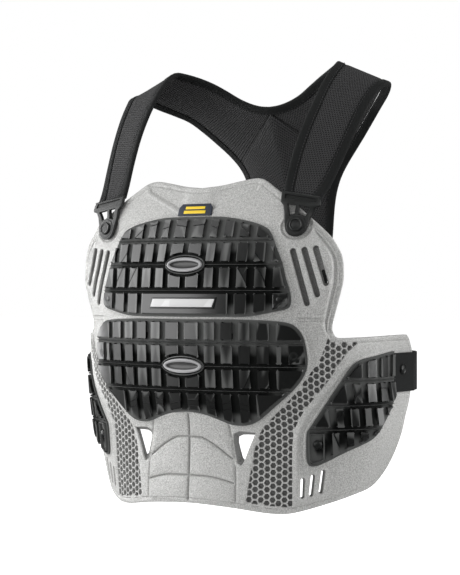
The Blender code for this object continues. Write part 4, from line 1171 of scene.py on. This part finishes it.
bucklePlan = {
    "edge": ((107.5, 106.0), (109.0, 107.2), (151.0, 100.4), (153.2, 98.6), (155.5, 90.5), (154.0, 88.0),
             (149.5, 86.5), (144.3, 72.5), (143.2, 65.0), (139.8, 58.6), (134.5, 55.2), (129.0, 54.4),
             (123.5, 56.0), (118.8, 60.4), (116.6, 66.5), (115.2, 74.0), (112.0, 90.5), (108.3, 94.5)),
    "windows": (((117.8, 91.6), (126.5, 90.2), (126.3, 80.5), (120.6, 79.0)),
                ((131.0, 89.5), (144.0, 87.4), (139.2, 78.2), (131.4, 80.3))),
    "barPanel": ((112.4, 103.6), (149.2, 97.8), (150.4, 92.6), (112.8, 98.4)),
    "low": 0.6, "high": 4.6, "bevel": 0.9, "liftFrom": 80.0, "liftTo": 93.0, "lift": 2.6,
    "boss": (130, 68, 11.2, 40), "rows": (54, 108, 3.0), "columns": (118, 130, 142),
}


def revolve(bm, profile, steps=40):
    verts = [bm.verts.new((radius * mm, 0, height * mm)) for radius, height in profile]
    edges = [bm.edges.new((a, b)) for a, b in zip(verts, verts[1:])]
    bmesh.ops.spin(bm, geom=verts + edges, cent=(0, 0, 0), axis=(0, 0, 1), angle=2 * math.pi, steps=steps,
                   use_merge=True)
    bmesh.ops.remove_doubles(bm, verts=bm.verts[:], dist=1e-7)
    faceOut(bm)


def makeFixings():
    for node, (across, up, out, profile) in fixingPlan.items():
        for label, side in (("left", 1), ("right", -1)):
            bm = bmesh.new()
            revolve(bm, profile)
            bmesh.ops.transform(bm, matrix=surfaceMatrix(side * across, up, out), verts=bm.verts[:])
            finishPiece(node.replace("_", "") + label.title(), bm, "black_satin_plastic", [f"{node}_{label}"],
                        [satinMaterial], 40)


def buckleLift(points):
    # the strap's bar stands further off the chest than the tongue
    return bucklePlan["lift"] * softStep(points[:, 1], bucklePlan["liftFrom"], bucklePlan["liftTo"])


def makeBuckles():
    low, high = bucklePlan["low"], bucklePlan["high"]
    bm = bmesh.new()
    flatFace(bm, smoothLine(bucklePlan["edge"], 2, True))
    thicken(bm, low, high)
    bevelEdges(bm, rimEdges(bm, high), bucklePlan["bevel"], 3)
    for y in spaced(*bucklePlan["rows"]):
        cutLine(bm, bm.faces[:], (0, y, 0), (0, 1, 0))
    for x in bucklePlan["columns"]:
        cutLine(bm, bm.faces[:], (x, 0, 0), (1, 0, 0))
    cutter = bmesh.new()
    for window in bucklePlan["windows"]:
        addPrism(cutter, window, ((-3.0, 0.3), (high - 1.2, 0.0), (high + 2.0, 1.8)))
    bm = carve(bm, cutter)
    cutter = bmesh.new()
    addPrism(cutter, bucklePlan["barPanel"], ((high - 1.3, -0.3), (high - 0.2, 0.0), (high + 2.0, 0.6)))
    bm = carve(bm, cutter)
    x, y, radius, sides = bucklePlan["boss"]
    boss = [(x + radius * math.cos(k * 2 * math.pi / sides), y + radius * math.sin(k * 2 * math.pi / sides))
            for k in range(sides)]
    addPrism(bm, boss, ((low + 0.5, 0.0), (high + 0.1, 0.0), (high + 0.38, -0.4), (high + 0.4, -1.2)))
    for side, half in (("left", bm), ("right", mirroredCopy(bm))):
        splitLarge(half)
        faceOut(half)
        wrapMesh(half, buckleLift)
        finishPiece(side + "Buckle", half, "black_satin_plastic", ["buckle_" + side], [satinMaterial], 32)


makeFixings()
makeBuckles()

# rows down the harness from one front end over the shoulder to the tail: the inner edge, then the outer edge,
# each (across, back, up)
harnessPlan = {
    "stations": (
        (108.5, 39.0, 105, 152.5, 46.0, 97), (108.0, 45.0, 121, 157.5, 63.0, 115), (109.0, 58.0, 150, 163.5, 84.0, 147),
        (111.0, 76.0, 181, 168.5, 104.0, 178), (113.0, 98.0, 210, 173.0, 126.0, 208),
        (113.5, 119.0, 234, 177.5, 147.0, 229), (114.5, 142.0, 255, 181.0, 160.0, 237),
        (113.5, 163.0, 268, 180.0, 175.0, 239), (104.5, 176.0, 267.5, 173.0, 189.0, 234),
        (90.0, 186.0, 262.5, 163.0, 203.0, 228), (75.0, 192.5, 255.5, 151.0, 218.0, 222),
        (59.0, 197.0, 246, 137.0, 234.0, 214), (43.0, 200.5, 236, 121.5, 246.0, 200),
        (27.5, 201.5, 229, 106.5, 255.5, 185), (13.0, 201.0, 224.8, 92.0, 263.0, 170),
        (0.0, 200.5, 223.4, 79.5, 267.0, 155), (0.0, 221.0, 187, 70.0, 267.5, 139),
        (0.0, 241.0, 149, 65.0, 265.0, 122), (0.0, 254.0, 107, 62.0, 262.0, 98), (0.0, 263.0, 55, 56.5, 265.0, 50),
        (0.0, 266.5, 0, 48.5, 267.0, 0), (0.0, 267.5, -62, 45.5, 267.0, -62), (0.0, 265.5, -127, 44.5, 265.5, -127)),
    "neckRows": 16, "thick": 4.0, "pinch": 0.72, "fineRows": 4, "columns": 12, "tapeWide": 10.8, "seam": 0.5,
    "stitchInset": 9.4, "stitchLift": 2.62, "stitchPitch": 4.2, "stitch": (2.6, 0.84, 0.60), "stitchBatch": 24,
    "tape": ((5.4, -2.3), (5.5, 0.0), (5.4, 2.3), (4.4, 2.55), (2.0, 2.65), (-1.0, 2.75), (-3.2, 2.6), (-4.6, 2.0),
             (-5.3, 1.0), (-5.45, 0.0), (-5.3, -1.0), (-4.6, -2.0), (-3.2, -2.6), (-1.0, -2.75), (2.0, -2.65),
             (4.4, -2.55)),
}


def stationLines():
    # fine inner and outer edges in metres, and the row where the neck's edge reaches the middle of the back
    rows = np.array(harnessPlan["stations"], float) - np.array((0, torso["back"], torso["up"]) * 2)
    last = harnessPlan["neckRows"] - 1
    steps = harnessPlan["fineRows"]
    outer = smoothLine(rows[:, 3:], steps)
    neck = smoothLine(rows[:last + 1, :3], steps)
    tail = smoothLine(rows[last:, :3], steps)
    return np.vstack([neck, tail[1:]]) * mm, outer * mm, last * steps


def edgeFrames(points, partners, endTangent=None):
    # along, inward and outward directions at each point of an edge
    frames = []
    last = len(points) - 1
    for k in range(last + 1):
        tangent = Vector(points[min(k + 1, last)] - points[max(k - 1, 0)]).normalized()
        if endTangent is not None and k == last:
            tangent = endTangent
        inward = Vector(partners[k] - points[k])
        inward = (inward - inward.dot(tangent) * tangent).normalized()
        frames.append((tangent, inward, tangent.cross(inward).normalized()))
    return frames


def gridMesh(bm, columns, rows, place, uvPlace):
    # a grid of faces, each corner moved to place(column, row)
    layer = bm.loops.layers.uv.get("pattern") or bm.loops.layers.uv.new("pattern")
    made = bmesh.ops.create_grid(bm, x_segments=columns, y_segments=rows, size=1.0)["verts"]
    spots = {vert: (round((vert.co.x + 1) / 2 * columns), round((vert.co.y + 1) / 2 * rows)) for vert in made}
    for face in {face for vert in made for face in vert.link_faces}:
        for loop in face.loops:
            loop[layer].uv = uvPlace(*spots[loop.vert])
    for vert, (column, row) in spots.items():
        vert.co = place(column, row)
    return made


def closeTube(bm, join):
    bmesh.ops.remove_doubles(bm, verts=bm.verts[:], dist=join)
    bmesh.ops.holes_fill(bm, edges=[edge for edge in bm.edges if edge.is_boundary], sides=0)
    faceOut(bm)


def runLengths(points):
    return np.concatenate([[0.0], np.cumsum(np.linalg.norm(np.diff(points, axis=0), axis=1))])


def makeHarness():
    inner, outer, turn = stationLines()
    neck = edgeFrames(inner[:turn + 1], outer[:turn + 1], Vector((-1, 0, 0)))
    arm = edgeFrames(outer, inner)
    cover = (harnessPlan["tapeWide"] + harnessPlan["seam"]) * mm
    rows, columns = len(outer) - 1, harnessPlan["columns"]
    starts = [Vector(inner[k]) + (neck[k][1] * cover if k <= turn else Vector()) for k in range(rows + 1)]
    ends = [Vector(outer[k]) + arm[k][1] * cover for k in range(rows + 1)]
    for k in range(turn, rows + 1):
        starts[k].x = 0.0
    middle = runLengths(np.array([(a + b) / 2 for a, b in zip(starts, ends)]))
    bm = bmesh.new()

    def place(column, row):
        return starts[row].lerp(ends[row], column / columns)

    def uvPlace(column, row):
        across = (column / columns - 0.5) * (starts[row] - ends[row]).length
        if row >= turn:
            across = (place(column, row) - starts[row]).length
        return across, middle[row]

    gridMesh(bm, columns, rows, place, uvPlace)
    faceOut(bm)
    mirrorMesh(bm, 1e-6, 1e-5)
    faceOut(bm)
    bm.normal_update()
    onEdge = bm.verts.layers.float.new("onEdge")
    for edge in bm.edges:
        for vert in edge.verts:
            if edge.is_boundary:
                vert[onEdge] = 1.0
    normals = {tuple(round(c, 7) for c in vert.co): vert.normal.copy() for vert in bm.verts}
    made = bmesh.ops.extrude_face_region(bm, geom=bm.faces[:])["geom"]
    raised = set(onlyVerts(made))
    for vert in bm.verts:
        normal = normals[tuple(round(c, 7) for c in vert.co)]
        half = harnessPlan["thick"] * mm / 2 * (harnessPlan["pinch"] if vert[onEdge] > 0.5 else 1.0)
        vert.co += normal * (half if vert in raised else -half)
    faceOut(bm)
    finishPiece("meshHarness", bm, "charcoal_mesh", ["harness"], [meshMaterial], 50)


def makeTape(name, node, points, frames):
    # a rounded tape folded over an edge
    section = harnessPlan["tape"]
    sides, runs = len(section), runLengths(np.array(points))

    def place(column, row):
        tangent, inward, normal = frames[row]
        a, b = section[column % sides]
        return Vector(points[row]) + inward * (harnessPlan["tapeWide"] / 2 + a) * mm + normal * b * mm

    bm = bmesh.new()
    gridMesh(bm, sides, len(points) - 1, place, lambda column, row: (column * 1.4 * mm, runs[row]))
    closeTube(bm, 1e-6)
    finishPiece(name, bm, "black_tape", [node], [tapeMaterial], 50)


def addStitches(bm, points, frames):
    # stitches on both faces, made in small batches
    runs = runLengths(np.array(points))
    pitch, inset, lift = (harnessPlan[key] * mm for key in ("stitchPitch", "stitchInset", "stitchLift"))
    size = Matrix.Diagonal((*(side * mm / 2 for side in harnessPlan["stitch"]), 1))
    count, batch = int(runs[-1] / pitch), harnessPlan["stitchBatch"]
    for first in range(0, count, batch):
        few = bmesh.new()
        for k in range(first, min(first + batch, count)):
            spot = (k + 0.5) * pitch
            row = int(np.clip(np.searchsorted(runs, spot) - 1, 0, len(runs) - 2))
            t = (spot - runs[row]) / (runs[row + 1] - runs[row])
            tangent, inward, normal = frames[row]
            turn = Matrix((tangent, inward, normal)).transposed().to_4x4()
            middle = Vector(points[row]).lerp(Vector(points[row + 1]), t) + inward * inset
            for side in (1, -1):
                bmesh.ops.create_uvsphere(few, u_segments=6, v_segments=4, radius=1.0,
                                          matrix=Matrix.Translation(middle + normal * side * lift) @ turn @ size)
        joinInto(bm, few)


def makeBindings():
    inner, outer, turn = stationLines()
    points = inner[:turn + 1]
    frames = edgeFrames(points, outer[:turn + 1], Vector((-1, 0, 0)))
    flip = Vector((-1, 1, 1))
    whole = np.vstack([points, points[-2::-1] * np.array(flip)])
    frames += [(-along * flip, inward * flip, normal * flip) for along, inward, normal in frames[-2::-1]]
    runs = [("neckTape", "neck_binding", whole, frames)]
    arm = edgeFrames(outer, inner)
    for side, sign in (("left", 1), ("right", -1)):
        flip = Vector((sign, 1, 1))
        runs.append((side + "ArmTape", "arm_binding_" + side, outer * np.array(flip),
                     [tuple(axis * flip for axis in frame) for frame in arm]))
    stitches = bmesh.new()
    for name, node, points, frames in runs:
        makeTape(name, node, points, frames)
        addStitches(stitches, points, frames)
    finishPiece("tapeStitches", stitches, "black_tape", [], [threadMaterial], 60)


makeHarness()
makeBindings()

# a belt that goes round the back as a flattened half oval, and the two tabs that hold it, folded over the wings
beltPlan = {"height": 46.0, "thick": 2.4, "up": -103.0, "back": 273.6, "round": 2.25, "steps": 72, "start": 324.1,
            "out": -3.0}
tabPlan = {"top": -80.0, "bottom": -126.0, "lean": 7.0, "front": 273.5, "fold": 327.0, "flat": (0.046, 0.085),
           "rows": 20,
           "section": ((273.5, 0.6), (273.5, 2.5), (323.5, 2.5), (326.2, 0.4), (327.0, -3.0), (326.2, -6.6),
                       (323.5, -8.8), (296.0, -8.8), (296.0, -6.7), (323.0, -6.7), (324.4, -4.6), (324.4, -1.4),
                       (323.0, 0.6))}


def makeBelt():
    start = wrapTorso([(beltPlan["start"], beltPlan["up"], beltPlan["out"])])[0]
    reach, depth = start[0], (beltPlan["back"] - torso["back"]) * mm - start[1]
    points = []
    for k in range(beltPlan["steps"] + 1):
        angle = math.pi * k / beltPlan["steps"]
        across, back = math.cos(angle), max(math.sin(angle), 0.0)
        points.append((math.copysign(abs(across) ** (2 / beltPlan["round"]), across) * reach,
                       start[1] + back ** (2 / beltPlan["round"]) * depth, start[2]))
    points = np.array(points)
    runs = runLengths(points)
    high, thick = beltPlan["height"] / 2, beltPlan["thick"] / 2
    section = [(-thick * 0.5, -high), (thick * 0.5, -high), (thick, -high + 0.7)]
    section += [(thick, y) for y in np.linspace(-high + 4, high - 4, 9)]
    section += [(thick, high - 0.7), (thick * 0.5, high), (-thick * 0.5, high), (-thick, high - 0.7)]
    section += [(-thick, y) for y in np.linspace(high - 4, -high + 4, 9)] + [(-thick, -high + 0.7)]
    last = len(points) - 1

    def place(column, row):
        tangent = Vector(points[min(row + 1, last)] - points[max(row - 1, 0)]).normalized()
        outward = tangent.cross(Vector((0, 0, 1))).normalized()
        a, b = section[column % len(section)]
        return Vector(points[row]) + outward * a * mm + Vector((0, 0, b * mm))

    bm = bmesh.new()
    gridMesh(bm, len(section), last, place, lambda column, row: (runs[row], section[column % len(section)][1] * mm))
    closeTube(bm, 1e-6)
    piece = finishPiece("elasticBelt", bm, "black_elastic", ["waist_belt"], [elasticMaterial], 50)


def makeTabs():
    section, rows, front = tabPlan["section"], tabPlan["rows"], tabPlan["front"]
    top, bottom = tabPlan["top"], tabPlan["bottom"]
    fine = []
    for point, after in zip(section, section[1:] + section[:1]):
        steps = max(1, round(math.dist(point, after) / 4))
        fine += [(point[0] + (after[0] - point[0]) * k / steps, point[1] + (after[1] - point[1]) * k / steps)
                 for k in range(steps)]
    sides = len(fine)
    for side, sign in (("left", 1), ("right", -1)):

        def place(column, row):
            up = bottom + (top - bottom) * row / rows
            across, out = fine[column % sides]
            lean = tabPlan["lean"] * (top - up) / (top - bottom)
            return Vector((sign * (across - lean * (across - front) / (tabPlan["fold"] - front)), up, out))

        bm = bmesh.new()
        gridMesh(bm, sides, rows, place, lambda column, row: (0, 0))
        closeTube(bm, 1e-5)
        wrapMesh(bm)
        splitLarge(bm)
        piece = finishPiece(side + "Tab", bm, "black_cloth", ["tab_" + side], [clothMaterial], 50)


makeTabs()
makeBelt()

# pale floor and soft lamps: (name, place, size, power), all aimed at the middle of the shell
stagePlan = {
    "floor": cadBox[0][2] - 0.12, "floorHalf": 14.0, "world": 0.26, "glossy": 0.03, "target": (0, -0.03, -0.25),
    "lights": (("keyLeft", (-1.8, -1.7, -0.1), (2.4, 3.0), 92.0), ("edgeLeft", (-2.3, 0.1, -0.1), (0.5, 2.2), 34.0),
               ("rimRight", (2.0, 0.85, 0.0), (0.7, 2.2), 34.0), ("sideRight", (2.3, -0.25, 0.6), (0.5, 1.1), 7.0),
               ("frontSoft", (0.9, -2.7, 1.0), (0.8, 0.8), 6.0), ("topSoft", (0.2, -0.4, 2.0), (1.6, 1.2), 11.0)),
}


def makeStage():
    bm = bmesh.new()
    bmesh.ops.create_grid(bm, x_segments=8, y_segments=8, size=stagePlan["floorHalf"])
    bmesh.ops.translate(bm, verts=bm.verts[:], vec=(0, 0, stagePlan["floor"]))
    mesh = bpy.data.meshes.new("paleFloor")
    bm.to_mesh(mesh)
    bm.free()
    material, tree, shader = startMaterial("paleFloor", (0.9, 0.9, 0.9),
                                           {"Roughness": 0.9, "Specular IOR Level": 0.1, "Emission Strength": 0.9,
                                            "Emission Color": (1, 1, 1, 1)})
    place = addNode(tree, "TexCoord").outputs["Object"]
    noise = addNode(tree, "TexNoise", {"Vector": place, "Scale": 3.0}).outputs["Fac"]
    path = addNode(tree, "LightPath").outputs
    pale = blend(tree, noise, grey(0.88), grey(0.92))
    tree.links.new(blend(tree, path["Is Glossy Ray"], pale, grey(0.05)), shader.inputs["Base Color"])
    tree.links.new(blend(tree, path["Is Camera Ray"], grey(0.0), grey(1.0)), shader.inputs["Emission Color"])
    mesh.materials.append(material)
    placeObject("paleFloor", mesh)
    # a white room for the camera, dimmer for the light that falls on the piece
    world = bpy.data.worlds.new("studio")
    world.use_nodes = True
    tree = world.node_tree
    path = addNode(tree, "LightPath").outputs
    dim = calc(tree, "MULTIPLY_ADD", path["Is Glossy Ray"], stagePlan["glossy"] - stagePlan["world"],
               stagePlan["world"])
    strength = calc(tree, "MAXIMUM", dim, path["Is Camera Ray"])
    tree.nodes["Background"].inputs[0].default_value = (1, 1, 1, 1)
    tree.links.new(strength, tree.nodes["Background"].inputs[1])
    bpy.context.scene.world = world
    bpy.context.scene.view_settings.view_transform = "Standard"
    target = Vector(stagePlan["target"])
    for name, place, size, power in stagePlan["lights"]:
        data = bpy.data.lights.new(name, "AREA")
        data.shape = "RECTANGLE"
        data.size, data.size_y = size
        data.energy = power
        light = placeObject(name, data)
        light.location = place
        light.rotation_euler = (target - Vector(place)).to_track_quat("-Z", "Y").to_euler()


makeStage()
print("stage made")
